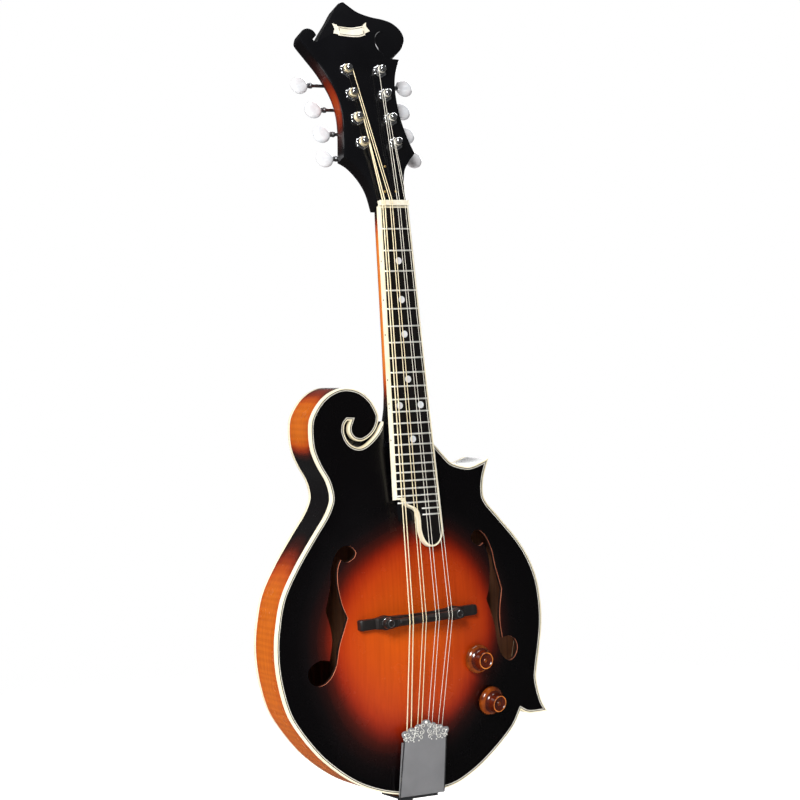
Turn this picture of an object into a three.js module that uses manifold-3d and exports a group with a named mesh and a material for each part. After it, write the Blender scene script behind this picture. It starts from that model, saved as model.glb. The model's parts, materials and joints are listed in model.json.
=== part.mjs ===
// A scroll-body acoustic-electric mandolin. Millimetres.
// X runs to the treble side, Y from the face to the back, Z up along the body to the headstock.
// The body is laid out with the bridge at Z = 0 and the front edge of the rim at Y = 0,
// and the whole is then moved so that the origin is inside the neck, just behind the nut.
import * as THREE from 'three';
import { mergeVertices } from 'three/addons/utils/BufferGeometryUtils.js';
import Module from 'manifold-3d';

const wasm = await Module();
wasm.setup();

const degrees = THREE.MathUtils.degToRad;
const SIDES = [['bass', -1], ['treble', 1]];

// ---- driving dimensions ----
const GAP = 0.3;                       // between pieces that touch
const TOLERANCE = 0.002;               // slivers thinner than this are closed up
const SCALE_LENGTH = 352.4;            // nut to bridge
const NECK_TILT = degrees(5.78);       // the neck leans back from the body
const HEAD_TILT = degrees(15);         // the headstock leans back from the neck
const STRING_PLANE = -26.28;           // Y of the fretboard's plane at the bridge
const RIM_DEPTH = 43;                  // front edge to back edge, plates included
const RIM_WALL = 2.4;
const BINDING = 3.1;                   // width of the binding with its purfling lines
const PLATE = 4.2;                     // thickness of the carved plates
const LINING = { width: 6, depth: 8 };
const TOP_ARCH = 15;
const BACK_ARCH = 14;
const ARCH_CELL = 5;                   // grid that the arching is worked out on
const PLATE_CELL = 15;                 // facets of the carved plates
const LONG_STEP = 12;                  // longest straight facet of a curved outline, roughly
const BLOCK_EDGE = 117;                // Z where the head block ends and the cavity begins
const NECK_JOINT = 149;                // Z of the body's edge under the fretboard

const NUT_HALF = 14.12;                // half the fretboard's width at the nut
const NECK_FLARE = 0.0286;             // half-width gained for each mm from the nut
const FRETBOARD = 5.5;                 // thickness
const FRETBOARD_BINDING = 1.6;
const FRETS = 24;
const HALF_FRETS = 2;                  // the last frets cross only the treble half
const FRET = { width: 2, height: 1 };

const HEAD_FACE_DROP = 2.5;            // headstock face behind the fretboard's plane
const OVERLAY = 2.2;
const HEAD_THICKNESS = 15;

const TUNER = { first: 59.2, step: 23.3, side: 16.5, hole: 3.6, post: 3, gear: 3.7, wheel: 3.2, teeth: 14 };
const WORM = { offset: 5.2, radius: 1.3, depth: 20, shaft: 1.7 };
const BUTTON = { radius: 8, thickness: 5.6 };
const BUTTON_REACH = { bass: [44.4, 42.4, 45.7, 54.3], treble: [43.2, 41.2, 42.4, 50] };

const COURSES = ['g', 'd', 'a', 'e'];
const STRING_RADIUS = { g: 0.51, d: 0.35, a: 0.22, e: 0.2 };
const COURSE_STEP = { nut: 7.3, bridge: 12.8, tail: 8.8 };
const PAIR_STEP = { nut: 2.2, bridge: 3.2, tail: 4.4 };

const BRIDGE = { length: 114, width: 9, base: 6.2, saddle: 78, saddleWidth: 6.4, ridge: 27,
  post: 1.9, socket: 2.3, slant: degrees(2.4) };
const BRIDGE_CENTRE = -3;
const BRIDGE_POST = 33.4;              // distance of each post from the bridge's centre
const WHEEL = { radius: 5, height: 2.4 };
const SADDLE_TOP = -30.9;              // Y of the strings' seat on the bridge
const NUT_SEAT = -1.5;                 // their seat in the nut, from the fretboard's plane

const TAIL = { slope: degrees(9.5), y: -8.5, z: -151, rimEnd: 152.6, width: 42.4, length: 52, sheet: 1.2 };
const JACK = { y: 22, radius: 6, flange: 9.5, bore: 3.3 };
const KNOBS = { volume: [54.3, -39.8], tone: [69.2, -77.7] };
const KNOB = { skirt: 12.5, cap: 7.4, height: 13.5, shaft: 3 };

// Half of an f-hole, as distance from the centre line and Z: smooth stretches between corners.
const F_HOLE = [
  [[69.8, 56], [64.6, 53.8], [58.6, 57], [56.6, 62], [61.2, 67.2], [68, 66.6], [74.5, 60], [78.8, 49],
    [81.2, 34], [86.4, 14.5]],
  [[86.4, 14.5], [83.2, 1], [82.3, -12], [84.7, -27.3]],
  [[84.7, -27.3], [92.3, -26.4], [100.4, -31.2], [102.8, -38.6], [99, -46], [91.6, -48], [84, -42.6],
    [78.8, -32], [75.6, -15.5], [67.7, 7.6]],
  [[67.7, 7.6], [72, 20], [74.2, 36], [73, 48.5], [69.8, 56]],
];
const F_HOLE_SHIFT = 2.5;              // the treble hole sits higher, the bass one lower

// The body's outline, anticlockwise from the tail, as smooth stretches between its corners.
const BODY = [
  [[0, -152.5], [33, -150], [54.3, -141.5], [75.6, -127], [97.2, -107], [106.9, -91.5]],
  [[106.9, -91.5], [115.5, -95.2], [134.5, -95.3]],
  [[134.5, -95.3], [128, -83.4], [123.9, -66.1], [124.8, -55], [128.9, -32.1], [130.9, -14.2],
    [130.3, 3.9], [127.2, 22.3], [119.8, 41], [108.1, 59], [90.2, 79.2], [77.7, 93.2], [74.5, 102.4],
    [76, 116], [81.2, 131]],
  [[81.2, 131], [66.2, 125.8], [57.5, 125.1], [43.6, 129.4], [34.5, 138.1], [24, NECK_JOINT]],
  [[24, NECK_JOINT], [-20.6, NECK_JOINT]],
  [[-20.6, NECK_JOINT], [-20.6, 164.5]],
  [[-20.6, 164.5], [-22, 167.4]],
  [[-22, 167.4], [-25.5, 162.1], [-29.1, 157.1], [-34.6, 151.9], [-40, 148.2], [-46, 146.6],
    [-52.4, 148.6], [-57.2, 153.4], [-59.8, 160.5], [-59, 166.5], [-56.4, 169.6]],
  [[-56.4, 169.6], [-53.4, 169.4]],
  [[-53.4, 169.4], [-55.4, 164], [-54.9, 158.6], [-51.6, 154], [-46.8, 151.9], [-41.5, 152.1],
    [-34.5, 155.9], [-29.3, 161.8], [-26.6, 169.5], [-27.6, 175.8], [-33.6, 186], [-44, 194.2],
    [-58, 197.2], [-70.7, 193.9], [-81.4, 186], [-90, 172.8], [-91.6, 159], [-90, 145.5],
    [-84.6, 132.3], [-77.1, 119.5], [-73.8, 107.5], [-74.9, 99.6], [-80.4, 89.1], [-92.2, 73.2],
    [-109, 49.1], [-122.2, 24.7], [-128.1, -0.4], [-129.8, -21], [-128, -42.9], [-121.8, -67.7],
    [-112.8, -85.2], [-94.6, -108.5], [-75.9, -125.3], [-56.7, -138], [-37.2, -146.2], [-17.6, -151],
    [0, -152.5]],
];

// The headstock's outline on its face, from the nut up the treble side, over the peak and down.
const HEAD = [
  [[14.4, 0], [15.2, 15.5], [19.3, 32.5], [25.5, 42], [33.7, 50.6]],
  [[33.7, 50.6], [29.6, 67], [27.2, 88], [28.2, 110], [31.9, 126.3], [39.3, 142]],
  [[39.3, 142], [30.4, 142.6]],
  [[30.4, 142.6], [42.3, 150.8], [48.6, 161], [47.6, 170], [41, 177.4], [32, 181], [20, 183.2],
    [8, 187.2], [-0.4, 193.4], [-4.2, 196.8]],
  [[-4.2, 196.8], [-8, 196], [-13, 191.8], [-21, 181], [-29, 170.9], [-35.4, 162.4]],
  [[-35.4, 162.4], [-38.6, 157.4], [-41.8, 157.4], [-42, 160.4], [-38, 163]],
  [[-38, 163], [-40.4, 167.3], [-45.6, 169.2], [-51, 167], [-54, 162], [-54.1, 157.6], [-47.4, 146.4],
    [-38.4, 131], [-31, 112.4], [-28.5, 96], [-29.8, 78], [-36.2, 47]],
  [[-36.2, 47], [-28.4, 41.6], [-20.4, 30.4], [-15.8, 17.6], [-14.4, 0]],
];

// ---- materials ----
function finish(color, roughness, metalness = 0) {
  return new THREE.MeshStandardMaterial({ color, roughness, metalness });
}
const spruce = finish(0xc8511a, 0.25);
const maple = finish(0xa8451c, 0.3);
const bareWood = finish(0xd6b183, 0.8);
const ebony = finish(0x15130f, 0.5);
const blackGloss = finish(0x08080a, 0.15);
const cream = finish(0xefe6cf, 0.35);
const bone = finish(0xf2ecda, 0.4);
const pearl = finish(0xe9e6de, 0.2);
const chrome = finish(0xc9cbce, 0.15, 1);
const nickel = finish(0x8f9194, 0.4, 1);
const bronze = finish(0xb98a4a, 0.35, 1);
const steel = finish(0xc4c6c9, 0.25, 1);
const amber = finish(0xc06a14, 0.12);

// ---- solids ----
function toSolid(geometry) {
  const bare = geometry.clone();
  bare.deleteAttribute('normal');
  bare.deleteAttribute('uv');
  const merged = mergeVertices(bare, 1e-4);
  return new wasm.Manifold(new wasm.Mesh({
    numProp: 3,
    vertProperties: new Float32Array(merged.attributes.position.array),
    triVerts: new Uint32Array(merged.index.array),
  }));
}

function toGeometry(solid) {
  const mesh = solid.simplify(TOLERANCE).getMesh();
  const geometry = new THREE.BufferGeometry();
  geometry.setAttribute('position', new THREE.BufferAttribute(new Float32Array(mesh.vertProperties), 3));
  geometry.setIndex(new THREE.BufferAttribute(new Uint32Array(mesh.triVerts), 1));
  return geometry;
}

function cut(geometry, ...tools) {
  return toGeometry(tools.reduce((rest, tool) => rest.subtract(toSolid(tool)), toSolid(geometry)));
}

function join(geometry, ...others) {
  return toGeometry(others.reduce((sum, other) => sum.add(toSolid(other)), toSolid(geometry)));
}

function common(geometry, other) {
  return toGeometry(toSolid(geometry).intersect(toSolid(other)));
}

// A box given by its lowest and highest corners.
function block(low, high) {
  const size = high.map((value, axis) => value - low[axis]);
  return new THREE.BoxGeometry(...size).translate(...low.map((value, axis) => value + size[axis] / 2));
}

// A box on one side of the middle, from one distance to another, given by [Y, Z] corners.
function wideBlock(side, near, far, low, high) {
  return block([Math.min(side * near, side * far), ...low], [Math.max(side * near, side * far), ...high]);
}

// A round bar along Y from one depth to the other.
function barY(radius, x, z, yFrom, yTo, sides = 12) {
  return new THREE.CylinderGeometry(radius, radius, yTo - yFrom, sides)
    .translate(0, (yFrom + yTo) / 2, 0).rotateY(Math.PI / sides).translate(x, 0, z);
}

function barX(radius, y, z, xFrom, xTo, sides = 8) {
  return new THREE.CylinderGeometry(radius, radius, xTo - xFrom, sides)
    .rotateZ(Math.PI / 2).translate((xFrom + xTo) / 2, y, z);
}

function barZ(radius, x, y, zFrom, zTo, sides = 16) {
  return new THREE.CylinderGeometry(radius, radius, zTo - zFrom, sides)
    .rotateX(Math.PI / 2).translate(x, y, (zFrom + zTo) / 2);
}

// A piece turned about the Y axis. The profile is radius and Y, with its outside traced towards +Y.
function turned(profile, sides) {
  return new THREE.LatheGeometry(profile.map(([r, y]) => new THREE.Vector2(r, y)), sides);
}

// A flat outline in X and Z given thickness in Y.
function slab(points, yFront, thickness, hole = null) {
  const shape = new THREE.Shape(points);
  if (hole) shape.holes.push(new THREE.Path(hole));
  return new THREE.ExtrudeGeometry(shape, { depth: thickness, bevelEnabled: false })
    .rotateX(Math.PI / 2).translate(0, yFront + thickness, 0);
}

// ---- outlines ----
// Joins smooth stretches into one closed outline, with a point added in each long gap.
function outline(stretches) {
  return stretches.flatMap((stretch) => {
    const points = stretch.map(([x, z]) => new THREE.Vector2(x, z));
    const curve = new THREE.SplineCurve(points);
    return points.slice(0, -1).flatMap((point, i) => {
      const isLong = points.length > 2 && point.distanceTo(points[i + 1]) > LONG_STEP;
      return isLong ? [point, curve.getPoint((i + 0.5) / (points.length - 1))] : [point];
    });
  });
}

function distanceToOutline(point, points) {
  const nearest = new THREE.Vector2();
  return Math.min(...points.map((start, i) => {
    const edge = points[(i + 1) % points.length].clone().sub(start);
    const along = THREE.MathUtils.clamp(point.clone().sub(start).dot(edge) / edge.lengthSq(), 0, 1);
    return nearest.copy(start).addScaledVector(edge, along).distanceTo(point);
  }));
}

function isInside(x, z, points) {
  let inside = false;
  points.forEach((a, i) => {
    const b = points[(i + 1) % points.length];
    if ((a.y > z) !== (b.y > z) && x < ((b.x - a.x) * (z - a.y)) / (b.y - a.y) + a.x) inside = !inside;
  });
  return inside;
}

// The same outline a distance further in. Points that would come too close to an edge are left out.
function inset(points, distance) {
  const moved = points.map((point, i) => {
    const before = points[(i + points.length - 1) % points.length];
    const after = points[(i + 1) % points.length];
    const inBefore = new THREE.Vector2(before.y - point.y, point.x - before.x).normalize();
    const inAfter = new THREE.Vector2(point.y - after.y, after.x - point.x).normalize();
    const middle = inBefore.clone().add(inAfter).normalize();
    return point.clone().addScaledVector(middle, distance / Math.max(middle.dot(inAfter), 0.25));
  });
  return moved.filter((point) => isInside(point.x, point.y, points)
    && distanceToOutline(point, points) > distance - 0.06);
}

const bodyEdge = outline(BODY);
const bindingEdge = inset(bodyEdge, BINDING);
const plateEdge = inset(bindingEdge, GAP);
const rimInside = inset(bodyEdge, RIM_WALL);
const coreEdge = inset(rimInside, GAP);

// ---- arching ----
// A skin stretched over the outline and blown up gives the arching: 0 at the edge, 1 at its crown.
function arching(points) {
  const box = new THREE.Box2().setFromPoints(points).expandByScalar(2 * ARCH_CELL);
  const columns = Math.ceil((box.max.x - box.min.x) / ARCH_CELL) + 1;
  const rows = Math.ceil((box.max.y - box.min.y) / ARCH_CELL) + 1;
  const height = new Float64Array(columns * rows);
  const free = [];
  for (let row = 1; row < rows - 1; row += 1) {
    for (let column = 1; column < columns - 1; column += 1) {
      const x = box.min.x + column * ARCH_CELL;
      const z = box.min.y + row * ARCH_CELL;
      if (isInside(x, z, points)) free.push(row * columns + column);
    }
  }
  for (let pass = 0; pass < 400; pass += 1) {
    free.forEach((i) => {
      const level = (height[i - 1] + height[i + 1] + height[i - columns] + height[i + columns] + 1) / 4;
      height[i] += 1.9 * (level - height[i]);
    });
  }
  const crown = Math.max(...height);
  return (x, z) => {
    const across = THREE.MathUtils.clamp((x - box.min.x) / ARCH_CELL, 0, columns - 1.001);
    const up = THREE.MathUtils.clamp((z - box.min.y) / ARCH_CELL, 0, rows - 1.001);
    const i = Math.floor(up) * columns + Math.floor(across);
    const low = THREE.MathUtils.lerp(height[i], height[i + 1], across % 1);
    const high = THREE.MathUtils.lerp(height[i + columns], height[i + columns + 1], across % 1);
    return THREE.MathUtils.smoothstep(THREE.MathUtils.lerp(low, high, up % 1) / crown, 0, 1);
  };
}

const arch = arching(plateEdge);
const topFront = (x, z) => -TOP_ARCH * arch(x, z);
const backRear = (x, z) => RIM_DEPTH + BACK_ARCH * arch(x, z);

// A sheet over the whole body between two curved surfaces, given as Y over X and Z.
function curvedSheet(front, rear, cell = PLATE_CELL) {
  const box = new THREE.Box2().setFromPoints(bodyEdge).expandByScalar(4);
  const size = box.getSize(new THREE.Vector2());
  const middle = box.getCenter(new THREE.Vector2());
  const sheet = new THREE.BoxGeometry(size.x, 1, size.y, Math.round(size.x / cell), 1,
    Math.round(size.y / cell)).translate(middle.x, 0, middle.y);
  const position = sheet.attributes.position;
  for (let i = 0; i < position.count; i += 1) {
    const surface = position.getY(i) < 0 ? front : rear;
    position.setY(i, surface(position.getX(i), position.getZ(i)));
  }
  return sheet;
}

// Everything on and behind the soundboard's face, with a gap: cuts what sits on the top to its arch.
const topAndBelow = () => curvedSheet((x, z) => topFront(x, z) - GAP, () => RIM_DEPTH);
const aboveUnderside = () => curvedSheet(() => -60, (x, z) => topFront(x, z) + PLATE + GAP);

// ---- frames ----
// The neck's frame: Z up the neck from the nut, Y back from the fretboard's plane.
const neckFrame = new THREE.Matrix4().makeRotationX(-NECK_TILT);
neckFrame.setPosition(0, STRING_PLANE + SCALE_LENGTH * Math.sin(NECK_TILT),
  SCALE_LENGTH * Math.cos(NECK_TILT));
// The headstock's frame: Z up the headstock from the nut, Y back from its face.
const headFrame = neckFrame.clone()
  .multiply(new THREE.Matrix4().makeTranslation(0, HEAD_FACE_DROP, 0))
  .multiply(new THREE.Matrix4().makeRotationX(-HEAD_TILT));
// The tailpiece's frame: Z up the cover from the tail, Y back from its face.
const tailFrame = new THREE.Matrix4().makeRotationX(TAIL.slope).setPosition(0, TAIL.y, TAIL.z);

const fromNeck = (x, y, z) => new THREE.Vector3(x, y, z).applyMatrix4(neckFrame);
const fromTail = (x, y, z) => new THREE.Vector3(x, y, z).applyMatrix4(tailFrame);

const halfWidth = (fromNut) => NUT_HALF + NECK_FLARE * fromNut;
const fretAt = (n) => SCALE_LENGTH * (1 - 2 ** (-n / 12));

// ---- body ----
const group = new THREE.Group();

function add(name, geometry, material, frame = null) {
  const mesh = new THREE.Mesh(geometry, material);
  mesh.name = name;
  if (frame) mesh.applyMatrix4(frame);
  group.add(mesh);
  return mesh;
}

function fHoles() {
  return [-1, 1].map((side) => {
    const points = outline(F_HOLE).map((p) => new THREE.Vector2(side * p.x, p.y + side * F_HOLE_SHIFT));
    return slab(points, -40, 80);
  });
}

// The way a knob's axis leans: square to the arched top where it stands.
function knobFrame([x, z]) {
  const step = 6;
  const slopeX = (topFront(x + step, z) - topFront(x - step, z)) / (2 * step);
  const slopeZ = (topFront(x, z + step) - topFront(x, z - step)) / (2 * step);
  const back = new THREE.Vector3(-slopeX, 1, -slopeZ).normalize();
  const turn = new THREE.Quaternion().setFromUnitVectors(new THREE.Vector3(0, 1, 0), back);
  return new THREE.Matrix4().makeRotationFromQuaternion(turn).setPosition(x, topFront(x, z), z);
}

function soundboard() {
  const plate = curvedSheet(topFront, (x, z) => topFront(x, z) + PLATE);
  const shaped = common(plate, slab(plateEdge, -40, 80));
  const shaftHoles = Object.values(KNOBS).map((place) => (
    barY(KNOB.shaft + 1, 0, 0, -8, 12).applyMatrix4(knobFrame(place))));
  add('soundboard', cut(shaped, ...fHoles(), ...shaftHoles), spruce);
}

function backPlate() {
  const plate = curvedSheet((x, z) => backRear(x, z) - PLATE, backRear, 18);
  add('back_plate', common(plate, slab(plateEdge, 0, 90)), maple);
}

function rimAndBinding() {
  add('top_binding', slab(bodyEdge, 0, PLATE, bindingEdge), cream);
  add('back_binding', slab(bodyEdge, RIM_DEPTH - PLATE, PLATE, bindingEdge), cream);
  const wall = slab(bodyEdge, PLATE + GAP, RIM_DEPTH - 2 * (PLATE + GAP), rimInside);
  add('rim', cut(wall, barZ(JACK.radius + 0.4, 0, JACK.y, -160, -140)), maple);
}

function blocksAndLinings() {
  const depth = RIM_DEPTH - 2 * (PLATE + GAP);
  const filled = slab(coreEdge, PLATE + GAP, depth);
  add('head_block', common(filled, block([-120, -10, BLOCK_EDGE], [120, 60, 220])), bareWood);
  const tail = common(filled, block([-34, -10, -160], [34, 60, -138]));
  add('tail_block', cut(tail, barZ(JACK.radius + 0.4, 0, JACK.y, -160, -120)), bareWood);
  // The linings run round the cavity between the two blocks' levels, against the rim.
  const strip = slab(coreEdge, PLATE + GAP, LINING.depth, inset(coreEdge, LINING.width));
  const cavity = block([-140, -10, -137.6], [140, 60, BLOCK_EDGE - GAP]);
  const sides = toSolid(common(strip, cavity)).decompose();
  const bySide = sides.sort((a, b) => a.boundingBox().min[0] - b.boundingBox().min[0]);
  add('bass_top_lining', toGeometry(bySide[0]), bareWood);
  add('treble_top_lining', toGeometry(bySide[bySide.length - 1]), bareWood);
}

// The two bars glued lengthwise under the top, spreading towards the tail.
function toneBars() {
  const bar = { width: 6, depth: 9, top: 88, bottom: -104 };
  SIDES.forEach(([name, side]) => {
    const points = [[22, bar.top], [22 + bar.width, bar.top], [36 + bar.width, bar.bottom], [36, bar.bottom]]
      .map(([x, z]) => new THREE.Vector2(side * x, z));
    if (side < 0) points.reverse();
    const upright = slab(points, -30, 60);
    const shelf = curvedSheet(() => -80, (x, z) => topFront(x, z) + PLATE + bar.depth);
    add(`${name}_tone_bar`, cut(common(upright, shelf), aboveUnderside()), bareWood);
  });
}

function pickup() {
  const place = { x: -14, z: -14, radius: 10, thickness: 1.4 };
  const y = topFront(0, 0) + PLATE + 1;
  add('contact_pickup', barY(place.radius, place.x, place.z, y, y + place.thickness), bronze);
}

// ---- neck ----
// Cross-sections down the neck: distance from the nut, depth of its back, half-width at the front.
const NECK_SECTIONS = [
  [-4, 16, 14], [3, 19.6, 14], [60, 21, 15.6], [120, 22.2, 17.2], [158, 24, 18.3], [172, 28, 18.7],
  [184, 36, 19], [194, 46, 19.2], [202, 54, 19.4], [214, 56, 19.6],
];

// A closed loft through the sections: one flat strip at the front, rounded at the back.
function neckShaft() {
  const sides = 12;
  const last = NECK_SECTIONS.length - 1;
  const shaft = new THREE.CylinderGeometry(1, 1, last, sides, last);
  const position = shaft.attributes.position;
  for (let i = 0; i < position.count; i += 1) {
    const [fromNut, back, half] = NECK_SECTIONS[Math.round(last / 2 - position.getY(i))];
    const front = FRETBOARD + GAP;
    const [x, z] = [position.getX(i), position.getZ(i)];
    const turn = (Math.atan2(x, z) / (2 * Math.PI) + 1) % 1;
    const angle = (Math.round(turn * sides) % sides) * (Math.PI / (sides - 1));
    const isCentre = Math.hypot(x, z) < 0.5;
    const across = isCentre ? 0 : half * Math.cos(angle);
    const depth = (back - front) * (isCentre ? 0.5 : Math.sin(angle) ** 0.8);
    position.setXYZ(i, across, front + depth, -fromNut);
  }
  return shaft;
}

function neckPieces() {
  const fromBody = neckFrame.clone().invert();
  const headInNeck = fromBody.clone().multiply(headFrame);
  const core = slab(outline(HEAD), OVERLAY + GAP, HEAD_THICKNESS - OVERLAY - GAP).applyMatrix4(headInNeck);
  const nutBed = block([-30, -20, -7.7], [30, FRETBOARD + GAP + 0.05, 5.2]);
  const rodSlot = block([-3.3, -20, -194], [3.3, 15, 6.3]);
  const underJoint = block([-40, -60, 60], [40, 90, NECK_JOINT + GAP]).applyMatrix4(fromBody);
  const holes = postHoles().map((hole) => hole.applyMatrix4(headInNeck));
  add('neck', cut(join(neckShaft(), core), nutBed, rodSlot, underJoint, ...holes), maple, neckFrame);
  add('truss_rod', block([-3, FRETBOARD + 1, -193.5], [3, 14.5, 3]), steel, neckFrame);
  const belowNut = block([-30, -4, -10], [30, 30, 7]);
  const overlay = slab(outline(HEAD), 0, OVERLAY);
  add('headstock_overlay', cut(overlay, belowNut, ...postHoles()), blackGloss, headFrame);
  const bell = outline([[[6.5, 8.2], [9.6, 15], [8.8, 24], [3.6, 32], [0, 43]], [[0, 43], [-3.6, 32],
    [-8.8, 24], [-9.6, 15], [-6.5, 8.2]], [[-6.5, 8.2], [6.5, 8.2]]]);
  add('truss_rod_cover', slab(bell, -GAP - 1.5, 1.5), blackGloss, headFrame);
}

// Holes for the string posts through the headstock, in its own frame.
function postHoles() {
  return SIDES.flatMap(([, side]) => COURSES.map((_, i) => (
    barY(TUNER.hole, side * TUNER.side, TUNER.first + i * TUNER.step, -5, 30, 8))));
}

// The fretboard's plan, narrowed by the given margin: a short bass side, a scalloped end and a
// tongue that runs on under the treble strings.
function fretboardPlan(margin, nutEnd = 0) {
  const half = (s) => halfWidth(s) - margin;
  const m = margin;
  return outline([
    [[half(-nutEnd), nutEnd], [-half(-nutEnd), nutEnd]],
    [[-half(-nutEnd), nutEnd], [-half(250), -250.5 + m]],
    [[-half(250), -250.5 + m], [-14 + m, -250.5 + m]],
    [[-14 + m, -250.5 + m], [-11 + m, -255.6 + m], [-6 + m, -258 + m]],
    [[-6 + m, -258 + m], [-2 + m, -260.6 + m], [-0.4 + m, -266], [0 + m, -278], [2.4 + m, -286],
      [11.2, -292 + m], [19 - m, -288.4 + m * 0.6], [half(280), -280], [half(266), -266]],
    [[half(266), -266], [half(-nutEnd), nutEnd]],
  ]);
}

function fretboardPieces() {
  const inside = slab(fretboardPlan(FRETBOARD_BINDING, 4), -2, FRETBOARD + 4);
  add('fretboard_binding', cut(slab(fretboardPlan(0), 0, FRETBOARD), inside), cream, neckFrame);
  const board = slab(fretboardPlan(FRETBOARD_BINDING + GAP), 0, FRETBOARD);
  add('fretboard', cut(board, fretSpine(GAP)), ebony, neckFrame);
  add('fret_set', join(fretSpine(0), ...frets()), steel, neckFrame);
  // The wedge under the overhang of the fretboard stands on the soundboard, below the neck joint.
  const wedge = block([-16, FRETBOARD + GAP, -268], [16, 30, -203.7]).applyMatrix4(neckFrame);
  const aboveJoint = block([-40, -60, NECK_JOINT - GAP - 2], [40, 90, 200]);
  add('fretboard_support', cut(wedge, topAndBelow(), aboveJoint), ebony);
}

// Crowns of the frets, above the fretboard.
function frets() {
  const bars = [];
  for (let n = 1; n <= FRETS; n += 1) {
    const s = fretAt(n);
    const half = halfWidth(s) - FRETBOARD_BINDING - 0.6;
    const left = n > FRETS - HALF_FRETS ? 3.2 : -half;
    bars.push(block([left, -FRET.height, -s - FRET.width / 2], [half, -0.05, -s + FRET.width / 2]));
  }
  return bars;
}

// A thin strip along the board that holds the frets together, or its slot when given some room.
function fretSpine(room) {
  return block([8 - room, -0.4 - room, -fretAt(FRETS) - 1 - room], [9 + room, 1.2 + room, -12]);
}

function nut() {
  const body = block([-NUT_HALF + 0.2, NUT_SEAT - 0.8, GAP], [NUT_HALF - 0.2, FRETBOARD, 4.8]);
  const slots = strings().map(({ x, radius }) => (
    block([x.nut - radius - 0.25, NUT_SEAT - 2, -1], [x.nut + radius + 0.25, NUT_SEAT + GAP, 6])));
  add('nut', cut(body, ...slots), bone, neckFrame);
}

// ---- strings ----
// Where each string crosses the nut, the bridge and the tailpiece, from the bass side.
function strings() {
  return COURSES.flatMap((course, i) => [-1, 1].map((half, pair) => {
    const at = (key) => (i - 1.5) * COURSE_STEP[key] + (half * PAIR_STEP[key]) / 2;
    const side = i < 2 ? -1 : 1;
    const index = side < 0 ? i * 2 + pair : (3 - i) * 2 + (1 - pair);
    return {
      name: `string_${course}${pair + 1}`, course, radius: STRING_RADIUS[course], side, index,
      x: { nut: at('nut'), bridge: at('bridge') + 1, tail: at('tail') },
    };
  }));
}

function stringPath({ x, radius, side, index }) {
  const post = new THREE.Vector3(side * (TUNER.side - TUNER.post - radius - 0.2), -5.4,
    TUNER.first + index * TUNER.step);
  return [
    fromTail(x.tail, 2.9, 12),
    new THREE.Vector3(x.bridge, SADDLE_TOP - radius - 0.35, x.bridge * Math.sin(BRIDGE.slant) + 0.6),
    fromNeck(x.nut, NUT_SEAT - radius, 5.2),
    post.applyMatrix4(headFrame),
  ];
}

function stringSet() {
  strings().forEach((string) => {
    const { radius, course } = string;
    const wire = rodThrough(stringPath(string), radius);
    add(string.name, wire, course === 'g' || course === 'd' ? bronze : steel);
  });
}

// A six-sided rod through a few points, mitred where it bends.
function rodThrough(stops, radius) {
  const rings = stops.length;
  const rod = new THREE.CylinderGeometry(1, 1, rings - 1, 6, rings - 1);
  const position = rod.attributes.position;
  for (let i = 0; i < position.count; i += 1) {
    const stop = stops[Math.round((rings - 1) / 2 - position.getY(i))];
    position.setXYZ(i, stop.x - radius * position.getX(i), stop.y - radius * position.getZ(i), stop.z);
  }
  return rod;
}

// ---- bridge ----
const bridgeFrame = new THREE.Matrix4().makeRotationY(-BRIDGE.slant).setPosition(BRIDGE_CENTRE, 0, 0.6);

function bridgePieces() {
  const halfLength = BRIDGE.length / 2;
  const halfWide = BRIDGE.width / 2;
  const crest = topFront(0, 0);
  const deck = crest - BRIDGE.base;
  const plan = outline([
    [[halfLength, -halfWide], [halfLength, halfWide]], [[halfLength, halfWide], [-halfLength, halfWide]],
    [[-halfLength, halfWide], [-halfLength, -halfWide]],
    [[-halfLength, -halfWide], [-halfLength + 14, -halfWide], [-BRIDGE_POST, -halfWide - 1.6],
      [-BRIDGE_POST + 8, -halfWide], [0, -halfWide], [BRIDGE_POST - 8, -halfWide],
      [BRIDGE_POST, -halfWide - 1.6], [BRIDGE_POST + 8, -halfWide], [halfLength, -halfWide]],
  ]);
  const bar = slab(plan, deck, 30);
  const loweredEnds = [-1, 1].map((side) => (
    wideBlock(side, BRIDGE_POST + 9, 80, [deck - 1, -20], [deck + 2.4, 20])));
  const waist = block([-17, crest - 2.2, -20], [17, 10, 20]);
  const sockets = SIDES.map(([, side]) => (
    barY(BRIDGE.socket, side * BRIDGE_POST, 0, deck - 2, deck + 5, 10)));
  const shaped = cut(bar, ...loweredEnds, waist, ...sockets).applyMatrix4(bridgeFrame);
  add('bridge_base', cut(shaped, topAndBelow()), ebony);

  const wheelFront = deck - GAP - WHEEL.height;
  bridgeSaddle(wheelFront - GAP);
  SIDES.forEach(([name, side]) => {
    const x = side * BRIDGE_POST;
    const post = barY(BRIDGE.post, x, 0, SADDLE_TOP + 5, deck + 4.6, 10);
    add(`${name}_bridge_post`, post, nickel, bridgeFrame);
    const wheel = cut(barY(WHEEL.radius, x, 0, wheelFront, deck - GAP, 16),
      barY(BRIDGE.socket, x, 0, wheelFront - 1, deck + 1, 10));
    add(`${name}_thumbwheel`, wheel, chrome, bridgeFrame);
  });
}

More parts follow.
